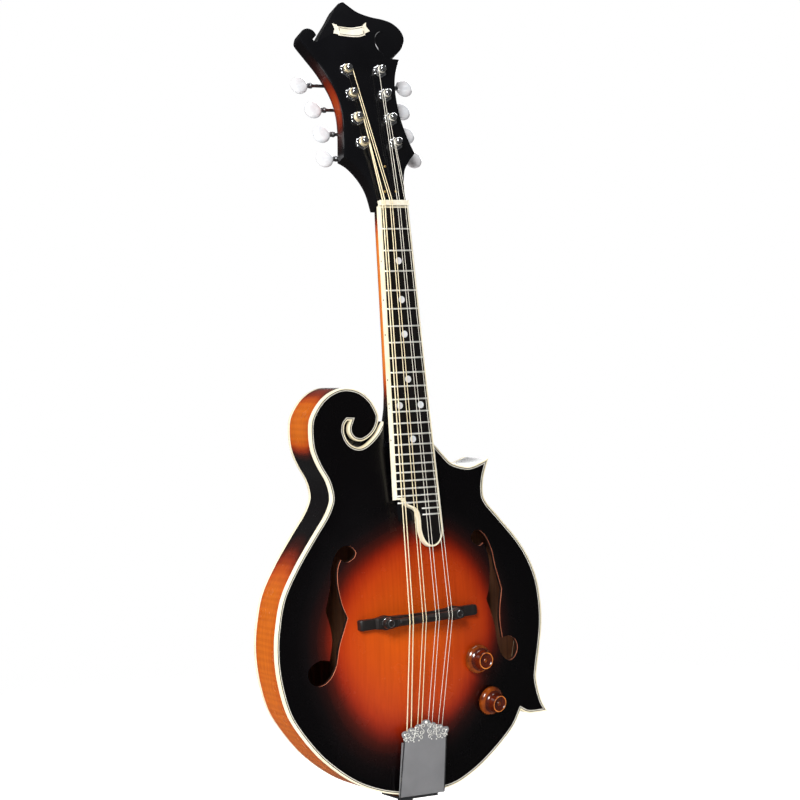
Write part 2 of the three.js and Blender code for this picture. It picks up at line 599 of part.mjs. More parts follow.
// The saddle has a ridge for the strings between its lower ends, and two sockets for the posts.
function bridgeSaddle(foot) {
  const half = BRIDGE.saddle / 2;
  const wide = BRIDGE.saddleWidth / 2;
  const shoulder = SADDLE_TOP + 1.6;
  const profile = [[-0.7, SADDLE_TOP], [0.7, SADDLE_TOP], [wide, shoulder], [wide, foot], [-wide, foot],
    [-wide, shoulder]].map(([z, y]) => new THREE.Vector2(-z, y));
  const saddle = new THREE.ExtrudeGeometry(new THREE.Shape(profile),
    { depth: BRIDGE.saddle, bevelEnabled: false }).rotateY(Math.PI / 2).translate(-half, 0, 0);
  const sockets = SIDES.map(([, side]) => (
    barY(BRIDGE.socket, side * BRIDGE_POST, 0, SADDLE_TOP + 2, foot + 2, 10)));
  const ends = SIDES.map(([, side]) => (
    wideBlock(side, BRIDGE.ridge, half + 1, [SADDLE_TOP - 1, -wide - 1], [shoulder, wide + 1])));
  add('bridge_saddle', cut(saddle, ...sockets, ...ends), ebony, bridgeFrame);
}

// ---- tailpiece ----
function tailpiece() {
  const half = TAIL.width / 2;
  const top = TAIL.length;
  const crest = [[half, top], [half + 1, top + 4.4], [half - 4.6, top + 4.6], [11.6, top + 8.6],
    [7.4, top + 7], [3.6, top + 12.4], [0, top + 13.6]];
  const mirrored = crest.map(([x, z]) => [-x, z]).reverse();
  const plan = outline([[[-half - 0.8, -1], [half + 0.8, -1]], [[half + 0.8, -1], [half - 0.6, top - 5]],
    [[half - 0.6, top - 5], [half, top]], crest, mirrored, [[-half, top], [-half + 0.6, top - 5]],
    [[-half + 0.6, top - 5], [-half - 0.8, -1]]]);
  const face = slab(plan, 0, TAIL.sheet);
  const flanges = SIDES.map(([, side]) => wideBlock(side, half - 2.2, half - 1, [0.4, -1], [5, top - 6]));
  const end = block([-half + 1, 0.4, -1], [half - 1, 3.8, 0.4]);
  add('tailpiece_cover', join(face, ...flanges, end), nickel, tailFrame);

  // The base is an angle plate: one leg over the top with the hooks, one down the end of the rim.
  const leg = { half: 18, sheet: 1.4, depth: 4.2, bend: -3.4 };
  const overTop = block([-leg.half, leg.depth, leg.bend], [leg.half, leg.depth + leg.sheet, top - 1])
    .applyMatrix4(tailFrame);
  const behind = -TAIL.rimEnd - GAP - 0.4;
  const down = block([-leg.half, fromTail(0, leg.depth, leg.bend - leg.sheet).y, behind - leg.sheet - 0.4],
    [leg.half, RIM_DEPTH - 12, behind]);
  const hooks = strings().map(({ x }) => (
    block([x.tail - 0.9, 2.4, 7.4], [x.tail + 0.9, 4.6, 9.4]).applyMatrix4(tailFrame)));
  const pinHole = barZ(JACK.radius + 0.4, 0, JACK.y, -170, -140);
  add('tailpiece_base', cut(join(overTop, down, ...hooks), pinHole), nickel);
}

// The strap button at the tail is also the output jack: a barrel through the tail block.
function endPinJack() {
  const { y, radius, flange, bore } = JACK;
  const outer = [[radius, -118], [radius, -155.3], [flange, -155.3], [flange, -157.2],
    [radius + 0.6, -159], [radius + 0.6, -165], [flange - 0.6, -166.6], [flange - 0.6, -168.6]];
  const profile = [[0, -128], [bore, -128], [bore, -168.6], ...outer.reverse(), [0, -118]];
  const pin = turned(profile, 16).rotateX(Math.PI / 2).translate(0, y, 0);
  add('end_pin_jack', pin, chrome);
}

// ---- controls ----
// A skirted bell knob whose shaft runs down through the top into its potentiometer.
function controls() {
  Object.entries(KNOBS).forEach(([name, place]) => {
    const frame = knobFrame(place);
    const { skirt, cap, height, shaft } = KNOB;
    const base = -1.6;
    const profile = [[0, base - height], [cap - 1, base - height], [cap, base - height + 1],
      [cap + 0.8, base - 7.6], [skirt - 2, base - 4.6], [skirt, base - 1.6], [skirt, base], [shaft, base],
      [shaft, 12], [0, 12]];
    add(`${name}_knob`, turned(profile, 18), amber, frame);
    const can = [[shaft + 0.3, PLATE + 1.2], [8.5, PLATE + 1.2], [8.5, PLATE + 10], [0, PLATE + 10],
      [0, PLATE + 9], [shaft + 0.3, PLATE + 9], [shaft + 0.3, PLATE + 1.2]];
    add(`${name}_pot`, turned(can, 12), steel, frame);
  });
}

// ---- tuners ----
function tuners() {
  SIDES.forEach(([name, side]) => {
    COURSES.forEach((_, i) => {
      const z = TUNER.first + i * TUNER.step;
      add(`${name}_button_${i + 1}`, buttonAndWorm(side, BUTTON_REACH[name][i], z - WORM.offset), pearl,
        headFrame);
      add(`${name}_post_${i + 1}`, postAndWheel(side * TUNER.side, z), chrome, headFrame);
    });
    add(`${name}_tuner_plate`, tunerPlate(side), nickel, headFrame);
  });
}

// The pearl button, its shaft and the thinner worm on it, along X.
function buttonAndWorm(side, reach, z) {
  const along = (radius, near, far) => {
    const [from, to] = [side * near, side * far].sort((a, b) => a - b);
    return barX(radius, WORM.depth, z, from, to);
  };
  const face = BUTTON.thickness / 2;
  const edge = BUTTON.radius - 1.4;
  const disc = turned([[0, -face], [edge, -face], [BUTTON.radius, 0], [edge, face], [0, face]], 14)
    .translate(side * reach, WORM.depth, z);
  return join(along(WORM.radius, 13, 20), along(WORM.shaft, 10.8, 13.4),
    along(WORM.shaft, 19.6, reach - edge), disc);
}

function postAndWheel(x, z) {
  const wheel = gear(TUNER.gear, TUNER.teeth).translate(x, WORM.depth - TUNER.wheel / 2, z);
  return join(barY(TUNER.post, x, z, -9, WORM.depth + TUNER.wheel / 2, 8), wheel);
}

// One plate for four tuners, with two cradles under each worm's shaft and a hole for each post.
function tunerPlate(side) {
  const front = HEAD_THICKNESS + GAP;
  const places = COURSES.map((_, i) => TUNER.first + i * TUNER.step);
  const plate = wideBlock(side, 10.5, 22.5, [front, places[0] - 12], [front + 1.2, places[3] + 12]);
  const cradles = places.flatMap((z) => [10.6, 20.2].map((near) => (
    wideBlock(side, near, near + 2, [front + 0.7, z - WORM.offset - 2],
      [WORM.depth - WORM.shaft - 0.2, z - WORM.offset + 2]))));
  const holes = places.map((z) => barY(TUNER.hole, side * TUNER.side, z, 10, 30, 8));
  return cut(join(plate, ...cradles), ...holes);
}

// A small spur gear, its axis along Y, from Y = 0.
function gear(radius, teeth) {
  const points = [];
  for (let i = 0; i < teeth; i += 1) {
    [radius - 0.9, radius].forEach((r, part) => {
      const angle = ((i + part / 2) / teeth) * 2 * Math.PI;
      points.push(new THREE.Vector2(r * Math.cos(angle), r * Math.sin(angle)));
    });
  }
  return slab(points, 0, TUNER.wheel);
}

// ---- assembly ----
soundboard();
backPlate();
rimAndBinding();
blocksAndLinings();
toneBars();
pickup();
neckPieces();
fretboardPieces();
nut();
stringSet();
bridgePieces();
tailpiece();
endPinJack();
controls();
tuners();

// The origin is where a hanger's yoke holds the neck: in the middle of the neck, behind the nut.
const ORIGIN_DEPTH = 12;
group.position.copy(fromNeck(0, ORIGIN_DEPTH, 0).negate());
group.updateMatrixWorld(true);

export default group;
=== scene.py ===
"""A scroll-body acoustic-electric mandolin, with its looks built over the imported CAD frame.

Shapes are worked out in millimetres in the body's frame: X to the treble side, Y from the face to
the back, Z up along the body, with the bridge at Z = 0 and the rim's front edge at Y = 0. piece()
moves them into the row frame in metres.
"""

import json
import math

import bpy
import numpy as np
from mathutils import Matrix, Vector
from mathutils.bvhtree import BVHTree
from mathutils.geometry import delaunay_2d_cdt


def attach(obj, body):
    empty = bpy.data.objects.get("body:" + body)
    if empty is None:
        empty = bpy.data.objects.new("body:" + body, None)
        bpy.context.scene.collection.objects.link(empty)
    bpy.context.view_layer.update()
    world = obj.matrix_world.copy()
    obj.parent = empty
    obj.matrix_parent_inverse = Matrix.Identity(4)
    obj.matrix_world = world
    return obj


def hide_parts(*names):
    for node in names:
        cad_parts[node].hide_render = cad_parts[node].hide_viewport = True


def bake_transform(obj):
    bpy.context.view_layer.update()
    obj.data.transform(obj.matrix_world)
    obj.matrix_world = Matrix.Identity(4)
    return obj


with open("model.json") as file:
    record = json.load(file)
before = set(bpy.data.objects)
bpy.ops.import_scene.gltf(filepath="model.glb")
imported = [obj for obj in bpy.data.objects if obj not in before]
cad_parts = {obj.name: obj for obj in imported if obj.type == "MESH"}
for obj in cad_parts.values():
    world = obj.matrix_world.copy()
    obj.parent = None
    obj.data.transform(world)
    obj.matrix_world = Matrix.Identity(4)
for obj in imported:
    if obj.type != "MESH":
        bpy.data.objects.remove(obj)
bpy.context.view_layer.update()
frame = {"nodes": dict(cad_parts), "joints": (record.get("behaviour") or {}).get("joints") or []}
JOINTS = {joint["name"]: joint for joint in frame["joints"]}

# ---- driving dimensions, in millimetres ----
SCALE_LENGTH = 352.4
NECK_TILT = math.radians(5.78)
HEAD_TILT = math.radians(15)
STRING_PLANE = -26.28  # Y of the fretboard's plane at the bridge
RIM_DEPTH = 43.0
RIM_WALL = 2.4
BINDING = 3.1
BINDING_DEPTH = 4.6  # how far the top's binding reaches down the side
PLATE = 4.2
TOP_ARCH = 15.0
BACK_ARCH = 14.0
NECK_JOINT = 149.0
NUT_HALF = 14.12
NECK_FLARE = 0.0286
FRETBOARD = 5.5
FRETBOARD_BINDING = 1.6
FRETS = 24
HALF_FRETS = 2
HEAD_FACE_DROP = 2.5
OVERLAY = 2.2
HEAD_THICKNESS = 15.0
TUNER = {"first": 59.2, "step": 23.3, "side": 16.5, "post": 3.0, "gear": 3.7, "wheel": 3.2, "teeth": 14}
STRING_LEVEL = -5.4  # where the strings reach their posts, from the headstock's face
WORM = {"offset": 5.2, "radius": 1.5, "depth": 20.0, "shaft": 1.5, "pitch": 1.1}
BUTTON = {"radius": 8.0, "thickness": 5.6}
BUTTON_REACH = {"bass": [44.4, 42.4, 45.7, 54.3], "treble": [43.2, 41.2, 42.4, 50.0]}
SIDES = (("bass", -1), ("treble", 1))
COURSES = "gdae"
STRING_RADIUS = {"g": 0.51, "d": 0.35, "a": 0.22, "e": 0.2}
COURSE_STEP = {"nut": 7.3, "bridge": 12.8, "tail": 8.8}
PAIR_STEP = {"nut": 2.2, "bridge": 3.2, "tail": 4.4}
BRIDGE = {"length": 114.0, "width": 9.0, "base": 6.2, "saddle": 78.0, "ridge": 27.0, "post": 33.4,
          "slant": math.radians(2.4)}
BRIDGE_CENTRE = -3.0
WHEEL = {"radius": 5.0, "height": 2.4}
SADDLE_TOP = -30.9
NUT_SEAT = -1.5
GAP = 0.3
TAIL = {"slope": math.radians(9.5), "y": -8.5, "z": -151.0, "width": 42.4, "length": 52.0, "sheet": 1.2}
KNOB = {"skirt": 12.5, "cap": 7.4, "height": 13.5, "shaft": 3.0, "base": -1.6}
KNOB_NAMES = ("volume", "tone")
JACK = {"y": 22.0, "radius": 6.0, "flange": 9.5, "bore": 3.3}
F_HOLE_SHIFT = 2.5
JOINT_SPAN = (-21.2, 24.2)  # X of the body's end that the heel covers, with a little to spare
SIDE_MIDDLE = 22.4  # Y of the side's middle line, from which its edges darken
SIDE_REACH = 16.4
WAVE_TEXTURE_RATE = 20  # radians that a wave texture of scale 1 runs through in a metre
FLOOR = -0.5195  # Z of the studio floor in the row frame, in metres
CAMERA_PLACE = (-0.971016, -1.746536, -0.116115)  # in the row frame, in metres
CAMERA_TURN = (29.237, -1.398, -1.771)  # yaw, pitch and roll, in degrees
LENS = 104.59
SENSOR = 36
CURVE_STEP = 1.6  # length of the straight facets along curved outlines
PLATE_CELL = 3.2  # facets of the carved plates

F_HOLE = [
    [(69.8, 56), (64.6, 53.8), (58.6, 57), (56.6, 62), (61.2, 67.2), (68, 66.6), (74.5, 60), (78.8, 49),
     (81.2, 34), (86.4, 14.5)],
    [(86.4, 14.5), (83.2, 1), (82.3, -12), (84.7, -27.3)],
    [(84.7, -27.3), (92.3, -26.4), (100.4, -31.2), (102.8, -38.6), (99, -46), (91.6, -48), (84, -42.6),
     (78.8, -32), (75.6, -15.5), (67.7, 7.6)],
    [(67.7, 7.6), (72, 20), (74.2, 36), (73, 48.5), (69.8, 56)],
]

# The body's outline, anticlockwise from the tail, as smooth stretches between its corners.
BODY = [
    [(0, -152.5), (33, -150), (54.3, -141.5), (75.6, -127), (97.2, -107), (106.9, -91.5)],
    [(106.9, -91.5), (115.5, -95.2), (134.5, -95.3)],
    [(134.5, -95.3), (128, -83.4), (123.9, -66.1), (124.8, -55), (128.9, -32.1), (130.9, -14.2),
     (130.3, 3.9), (127.2, 22.3), (119.8, 41), (108.1, 59), (90.2, 79.2), (77.7, 93.2), (74.5, 102.4),
     (76, 116), (81.2, 131)],
    [(81.2, 131), (66.2, 125.8), (57.5, 125.1), (43.6, 129.4), (34.5, 138.1), (24, NECK_JOINT)],
    [(24, NECK_JOINT), (-20.6, NECK_JOINT)],
    [(-20.6, NECK_JOINT), (-20.6, 164.5)],
    [(-20.6, 164.5), (-22, 167.4)],
    [(-22, 167.4), (-25.5, 162.1), (-29.1, 157.1), (-34.6, 151.9), (-40, 148.2), (-46, 146.6),
     (-52.4, 148.6), (-57.2, 153.4), (-59.8, 160.5), (-59, 166.5), (-56.4, 169.6)],
    [(-56.4, 169.6), (-53.4, 169.4)],
    [(-53.4, 169.4), (-55.4, 164), (-54.9, 158.6), (-51.6, 154), (-46.8, 151.9), (-41.5, 152.1),
     (-34.5, 155.9), (-29.3, 161.8), (-26.6, 169.5), (-27.6, 175.8), (-33.6, 186), (-44, 194.2),
     (-58, 197.2), (-70.7, 193.9), (-81.4, 186), (-90, 172.8), (-91.6, 159), (-90, 145.5),
     (-84.6, 132.3), (-77.1, 119.5), (-73.8, 107.5), (-74.9, 99.6), (-80.4, 89.1), (-92.2, 73.2),
     (-109, 49.1), (-122.2, 24.7), (-128.1, -0.4), (-129.8, -21), (-128, -42.9), (-121.8, -67.7),
     (-112.8, -85.2), (-94.6, -108.5), (-75.9, -125.3), (-56.7, -138), (-37.2, -146.2), (-17.6, -151),
     (0, -152.5)],
]

# The headstock's outline on its face, from the nut up the treble side, over the peak and down.
HEAD = [
    [(14.4, 0), (15.2, 15.5), (19.3, 32.5), (25.5, 42), (33.7, 50.6)],
    [(33.7, 50.6), (29.6, 67), (27.2, 88), (28.2, 110), (31.9, 126.3), (39.3, 142)],
    [(39.3, 142), (30.4, 142.6)],
    [(30.4, 142.6), (42.3, 150.8), (48.6, 161), (47.6, 170), (41, 177.4), (32, 181), (20, 183.2),
     (8, 187.2), (-0.4, 193.4), (-4.2, 196.8)],
    [(-4.2, 196.8), (-8, 196), (-13, 191.8), (-21, 181), (-29, 170.9), (-35.4, 162.4)],
    [(-35.4, 162.4), (-38.6, 157.4), (-41.8, 157.4), (-42, 160.4), (-38, 163)],
    [(-38, 163), (-40.4, 167.3), (-45.6, 169.2), (-51, 167), (-54, 162), (-54.1, 157.6), (-47.4, 146.4),
     (-38.4, 131), (-31, 112.4), (-28.5, 96), (-29.8, 78), (-36.2, 47)],
    [(-36.2, 47), (-28.4, 41.6), (-20.4, 30.4), (-15.8, 17.6), (-14.4, 0)],
]

# ---- frames ----
def turn_x(angle):
    return np.array(Matrix.Rotation(angle, 4, "X"))


def turn_y(angle):
    return np.array(Matrix.Rotation(angle, 4, "Y"))


def turn_z(angle):
    return np.array(Matrix.Rotation(angle, 4, "Z"))


def shift(x, y, z):
    return np.array(Matrix.Translation((x, y, z)))


def apply(matrix, points):
    points = np.asarray(points, float).reshape(-1, 3)
    return points @ matrix[:3, :3].T + matrix[:3, 3]


NECK_FRAME = shift(0, STRING_PLANE + SCALE_LENGTH * math.sin(NECK_TILT),
                   SCALE_LENGTH * math.cos(NECK_TILT)) @ turn_x(-NECK_TILT)
HEAD_FRAME = NECK_FRAME @ shift(0, HEAD_FACE_DROP, 0) @ turn_x(-HEAD_TILT)
TAIL_FRAME = shift(0, TAIL["y"], TAIL["z"]) @ turn_x(TAIL["slope"])
BRIDGE_FRAME = shift(BRIDGE_CENTRE, 0, 0.6) @ turn_y(-BRIDGE["slant"])
ORIGIN = apply(NECK_FRAME, (0, 12, 0))[0]  # the row frame's origin, inside the neck behind the nut


def knob_frame(name):
    """Y axis along the knob's turning axis, into the body, from the joint that turns it."""
    joint = JOINTS[f"{name}_turn"]
    centre = np.array(joint["pos_m"]) * 1000 + ORIGIN
    turn = Vector((0, 1, 0)).rotation_difference(-Vector(joint["axis"]))
    return shift(*centre) @ np.array(turn.to_matrix().to_4x4())


# ---- meshes ----
def piece(name, part, materials, place=None, body="instrument", slots=None, sharp=35, values=None,
          replaces=()):
    """A mesh object from a part's points in millimetres and its faces, riding on a CAD body. slots gives
    each face's material, and values holds numbers for the vertices that the material reads by name."""
    points, faces = part
    at_body = apply(place, points) if place is not None else np.asarray(points, float)
    mesh = bpy.data.meshes.new(name)
    mesh.from_pydata(((at_body - ORIGIN) / 1000).tolist(), [], [tuple(map(int, f)) for f in faces])
    mesh.validate()
    for material in materials if isinstance(materials, list) else [materials]:
        mesh.materials.append(material)
    if slots is not None:
        mesh.polygons.foreach_set("material_index", np.asarray(slots, np.int32))
    for key, numbers in (values or {}).items():
        mesh.attributes.new(key, "FLOAT", "POINT").data.foreach_set("value", np.asarray(numbers, np.float32))
    mesh.polygons.foreach_set("use_smooth", np.ones(len(mesh.polygons), bool))
    mesh.set_sharp_from_angle(angle=math.radians(sharp))
    mesh.update()
    made = bpy.data.objects.new(name, mesh)
    bpy.context.scene.collection.objects.link(made)
    if body:
        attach(made, body)
    if replaces:
        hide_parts(*replaces)
    return made


def around(count):
    """Evenly spaced angles, once round."""
    return np.arange(count) * 2 * math.pi / count


def merged(*parts):
    """Several (points, faces) as one."""
    points, faces, start = [], [], 0
    for part_points, part_faces in parts:
        points.append(np.asarray(part_points, float).reshape(-1, 3))
        faces.extend(tuple(i + start for i in face) for face in part_faces)
        start += len(points[-1])
    return np.concatenate(points), faces


def placed(matrix, part):
    return apply(matrix, part[0]), part[1]


def loft(rings, closed=False, caps=True):
    """A skin through rings of equally many points. Rings run anticlockwise seen from the last one."""
    rings = np.asarray(rings, float)
    count, size = rings.shape[:2]
    faces = []
    for i in range(count if closed else count - 1):
        a, b = i * size, ((i + 1) % count) * size
        faces += [(a + j, a + (j + 1) % size, b + (j + 1) % size, b + j) for j in range(size)]
    if caps and not closed:
        faces.append(tuple(range(size))[::-1])
        faces.append(tuple(range((count - 1) * size, count * size)))
    return rings.reshape(-1, 3), faces


def turned(profile, sides=48, closed=False, lobes=0, wave=0.0, beyond=0.0):
    """A piece turned about Y. The profile is radius and Y, with its outside traced towards +Y. Radii
    greater than beyond swell and shrink by wave, lobes times round."""
    angles = around(sides)
    swell = wave * np.cos(lobes * angles)
    rings = []
    for r, y in profile:
        radii = r + (swell if r > beyond else 0 * swell)
        rings.append(np.stack([radii * np.sin(angles), np.full(sides, y), radii * np.cos(angles)], 1))
    return loft(rings, closed=closed)


def box(low, high):
    (a, b, c), (d, e, f) = low, high
    points = [(a, b, c), (d, b, c), (d, e, c), (a, e, c), (a, b, f), (d, b, f), (d, e, f), (a, e, f)]
    return points, [(0, 3, 2, 1), (4, 5, 6, 7), (0, 1, 5, 4), (1, 2, 6, 5), (2, 3, 7, 6), (3, 0, 4, 7)]


def tube(path, radius, sides=10, closed=False):
    """A round tube along a path. radius is one number, or one for each point of the path."""
    path = np.asarray(path, float)
    radii = np.broadcast_to(radius, len(path))
    ahead = np.roll(path, -1, 0) - np.roll(path, 1, 0)
    if not closed:
        ahead[0], ahead[-1] = path[1] - path[0], path[-1] - path[-2]
    ahead /= np.linalg.norm(ahead, axis=1)[:, None]
    side = np.cross(ahead[0], (0.0, 1.0, 0.0) if abs(ahead[0][1]) < 0.9 else (1.0, 0.0, 0.0))
    rings = []
    for point, along, r in zip(path, ahead, radii):
        side = side - along * (side @ along)
        side /= np.linalg.norm(side)
        up = np.cross(along, side)
        rings.append([point + r * (math.cos(a) * side + math.sin(a) * up)
                      for a in around(sides)])
    return loft(rings, closed=closed)


# ---- outlines ----
def spline(points, step=CURVE_STEP):
    """A smooth curve through the points, without its last one."""
    p = np.asarray(points, float)
    if len(p) == 2:
        count = max(1, int(np.linalg.norm(p[1] - p[0]) / (3 * step)))
        return p[0] + (p[1] - p[0]) * (np.arange(count) / count)[:, None]
    q = np.concatenate([p[:1], p, p[-1:]])
    made = []
    for i in range(len(p) - 1):
        a, b, c, d = q[i:i + 4]
        count = max(2, round(np.linalg.norm(c - b) / step))
        t = (np.arange(count) / count)[:, None]
        v0, v1 = (c - a) / 2, (d - b) / 2
        made.append((2 * b - 2 * c + v0 + v1) * t**3 + (3 * c - 3 * b - 2 * v0 - v1) * t**2 + v0 * t + b)
    return np.concatenate(made)


def outline(stretches, step=CURVE_STEP):
    return np.concatenate([spline(stretch, step) for stretch in stretches])


def distance(points, loop):
    """Distance from each point to a closed outline."""
    a, edge = loop, np.roll(loop, -1, 0) - loop
    best = np.full(len(points), 1e9)
    for part in range(0, len(points), 2000):
        p = points[part:part + 2000, None] - a[None]
        along = np.clip((p * edge).sum(2) / np.maximum((edge**2).sum(1), 1e-12), 0, 1)
        best[part:part + 2000] = np.linalg.norm(p - along[..., None] * edge, axis=2).min(1)
    return best


def inside(points, loop):
    a, b = loop, np.roll(loop, -1, 0)
    result = np.zeros(len(points), bool)
    for (ax, az), (bx, bz) in zip(a, b):
        if az != bz:
            hit = (az > points[:, 1]) != (bz > points[:, 1])
            result ^= hit & (points[:, 0] < (bx - ax) * (points[:, 1] - az) / (bz - az) + ax)
    return result


def insets(loop, depths):
    """The outline moved in by each depth, point for point. Where the shape is too narrow for a depth,
    the points stop on its middle line, so strips between two insets taper away at sharp tips."""
    before, after = loop - np.roll(loop, 1, 0), np.roll(loop, -1, 0) - loop
    in_before = np.stack([-before[:, 1], before[:, 0]], 1) / np.linalg.norm(before, axis=1)[:, None]
    in_after = np.stack([-after[:, 1], after[:, 0]], 1) / np.linalg.norm(after, axis=1)[:, None]
    middle = in_before + in_after
    middle /= np.maximum(np.linalg.norm(middle, axis=1), 1e-6)[:, None]
    reach = 1 / np.maximum((middle * in_after).sum(1), 0.3)
    made = []
    for depth in depths:
        low, high = np.zeros(len(loop)), np.full(len(loop), float(depth))
        for attempt in range(12):
            tried = (low + high) / 2 if attempt else high
            fits = distance(loop + middle * (reach * tried)[:, None], loop) > tried * 0.985 - 0.01
            low = np.where(fits, tried, low)
            high = np.where(fits, high, tried)
            if fits.all() and not attempt:
                break
        made.append(loop + middle * (reach * low)[:, None])
    return made


def sheet(loop, holes, cell):
    """Triangles over an outline, with the holes' edges in them: points, triangles."""
    low, high = loop.min(0), loop.max(0)
    rows = np.arange(low[1] + cell / 2, high[1], cell * math.sqrt(3) / 2)
    grid = np.concatenate([
        np.stack([np.arange(low[0] + (i % 2) * cell / 2, high[0], cell), np.full_like(
            np.arange(low[0] + (i % 2) * cell / 2, high[0], cell), z)], 1) for i, z in enumerate(rows)])
    grid = grid[inside(grid, loop)]
    for edge in [loop, *holes]:
        grid = grid[distance(grid, edge) > cell * 0.45]
    loops = [loop, *holes]
    edges, start = [], 0
    for edge in loops:
        n = len(edge)
        edges += [(start + i, start + (i + 1) % n) for i in range(n)]
        start += n
    every = np.concatenate([*loops, grid])
    points, _, faces, *_ = delaunay_2d_cdt([Vector(p) for p in every], edges, [], 0, 1e-4)
    points = np.array(points)
    faces = np.array([f for f in faces if len(f) == 3])
    middle = points[faces].mean(1)
    faces = faces[inside(middle, loop)]
    a, b, c = points[faces].transpose(1, 0, 2)
    area = (b - a)[:, 0] * (c - a)[:, 1] - (b - a)[:, 1] * (c - a)[:, 0]
    faces[area < 0] = faces[area < 0][:, ::-1]
    return points, faces[np.abs(area) > 1e-6]


def rim_edges(faces):
    """Edges that only one triangle has, in that triangle's direction."""
    seen = {}
    for face in faces:
        for i in range(3):
            seen[(face[i], face[(i + 1) % 3])] = True
    return [edge for edge in seen if (edge[1], edge[0]) not in seen]


def membrane(points, faces):
    """Height of a skin blown up over the outline, 0 at the edge and 1 at its crown."""
    corner = points[faces]
    weights, rows, columns = [], [], []
    a, b, c = corner[:, 0], corner[:, 1], corner[:, 2]
    area = np.abs((b - a)[:, 0] * (c - a)[:, 1] - (b - a)[:, 1] * (c - a)[:, 0]) / 2
    for i in range(3):
        p, q, r = corner[:, i], corner[:, (i + 1) % 3], corner[:, (i + 2) % 3]
        half_cot = ((q - p) * (r - p)).sum(1) / (4 * area)
        rows += [faces[:, (i + 1) % 3], faces[:, (i + 2) % 3]]
        columns += [faces[:, (i + 2) % 3], faces[:, (i + 1) % 3]]
        weights += [half_cot, half_cot]
    rows, columns, weights = map(np.concatenate, (rows, columns, weights))
    size = len(points)
    diagonal = np.bincount(rows, weights, size)
    free = np.ones(size, bool)
    free[np.array(rim_edges(faces)).ravel()] = False

    def stiffness(u):
        return np.where(free, diagonal * u - np.bincount(rows, weights * u[columns], size), 0)

    load = np.zeros(size)
    for i in range(3):
        load += np.bincount(faces[:, i], area / 3, size)
    height, left = np.zeros(size), np.where(free, load, 0)
    way, power = left.copy(), left @ left
    for _ in range(900):
        pushed = stiffness(way)
        step = power / (way @ pushed)
        height += step * way
        left -= step * pushed
        new_power = left @ left
        if new_power < 1e-10 * len(left):
            break
        way, power = left + (new_power / power) * way, new_power
    return height / height.max()


def smoothstep(t, low=0.0, high=1.0):
    t = np.clip((np.asarray(t, float) - low) / (high - low), 0, 1)
    return t * t * (3 - 2 * t)


BODY_EDGE = outline(BODY)
(PLATE_EDGE,) = insets(BODY_EDGE, [BINDING])
F_HOLES = [outline(F_HOLE, 1.2) * (side, 1) + (0, side * F_HOLE_SHIFT) for _, side in SIDES]


# ---- materials ----
class Look:
    """A material under construction: one Principled shader and the nodes that feed it."""

    def __init__(self, name, **values):
        self.material = bpy.data.materials.new(name)
        self.material.use_nodes = True
        self.tree = self.material.node_tree
        self.shader = self.tree.nodes["Principled BSDF"]
        for socket, value in values.items():
            self.shader.inputs[socket.replace("_", " ")].default_value = value

    def node(self, kind, sockets=None, **settings):
        made = self.tree.nodes.new(f"ShaderNode{kind}")
        for key, value in settings.items():
            setattr(made, key, value)
        for key, value in (sockets or {}).items():
            self.feed(value, made.inputs[key])
        return made

    def feed(self, value, socket):
        if isinstance(value, bpy.types.NodeSocket):
            self.tree.links.new(value, socket)
        else:
            socket.default_value = value

    def place(self, stretch):
        """Row-frame coordinates in metres, scaled along each axis."""
        coordinates = self.node("TexCoord").outputs["Object"]
        return self.node("Mapping", {"Vector": coordinates, "Scale": stretch}).outputs[0]

    def noise(self, stretch, detail=3.0, roughness=0.5, warp=0.0):
        sockets = {"Vector": self.place(stretch), "Scale": 1.0, "Detail": detail, "Roughness": roughness,
                   "Distortion": warp}
        return self.node("TexNoise", sockets).outputs["Fac"]

    def value(self, name):
        return self.node("Attribute", attribute_name=name).outputs["Fac"]

    def maths(self, operation, a, b=0.0, c=0.0):
        return self.node("Math", {0: a, 1: b, 2: c}, operation=operation).outputs[0]

    def spread(self, value, low, high):
        """Moves a value from 0..1 to low..high."""
        return self.node("MapRange", {"Value": value, "To Min": low, "To Max": high}).outputs[0]

    def ramp(self, value, stops):
        made = self.node("ValToRGB", {"Fac": value})
        elements = made.color_ramp.elements
        while len(elements) < len(stops):
            elements.new(0.5)
        for element, (at, colour) in zip(elements, stops):
            element.position = at
            element.color = (*linear(colour), 1)
        return made.outputs["Color"]

    def tint(self, colour, other, factor):
        """The colour multiplied by another, as far as the factor says."""
        made = self.node("Mix", data_type="RGBA", blend_type="MULTIPLY")
        colour_sockets = [i for i in made.inputs if i.type == "RGBA"]
        self.feed(factor, made.inputs[0])
        for value, socket in zip((colour, other), colour_sockets):
            self.feed(value, socket)
        return next(o for o in made.outputs if o.type == "RGBA")

    def set(self, **sockets):
        for key, value in sockets.items():
            self.feed(value, self.shader.inputs[key.replace("_", " ")])
        return self

    def bump(self, height, depth, strength):
        """depth is in millimetres."""
        made = self.node("Bump", {"Height": height, "Strength": strength, "Distance": depth / 1000})
        self.feed(made.outputs[0], self.shader.inputs["Normal"])
        return self


def linear(colour):
    """A colour given as 0 to 255 screen values, as the shader's linear values."""
    return tuple((c / 255 / 12.92) if c <= 10 else ((c / 255 + 0.055) / 1.055) ** 2.4 for c in colour)


def burst_colour(look, stops):
    """A sunburst's colour, its shade read from the vertices' own numbers and made a little uneven. On the top
    these numbers hold painted shade as well.
    """
    uneven = look.maths("MULTIPLY_ADD", look.noise((14, 14, 9), 4.0), 0.09, -0.045)
    return look.ramp(look.maths("ADD", look.value("burst"), uneven), stops)


def varnished(look, colour, grain, strength):
    look.set(Base_Color=colour, Roughness=look.spread(look.noise((60, 60, 60), 3.0), 0.2, 0.32))
    return look.bump(grain, 0.02, strength).material


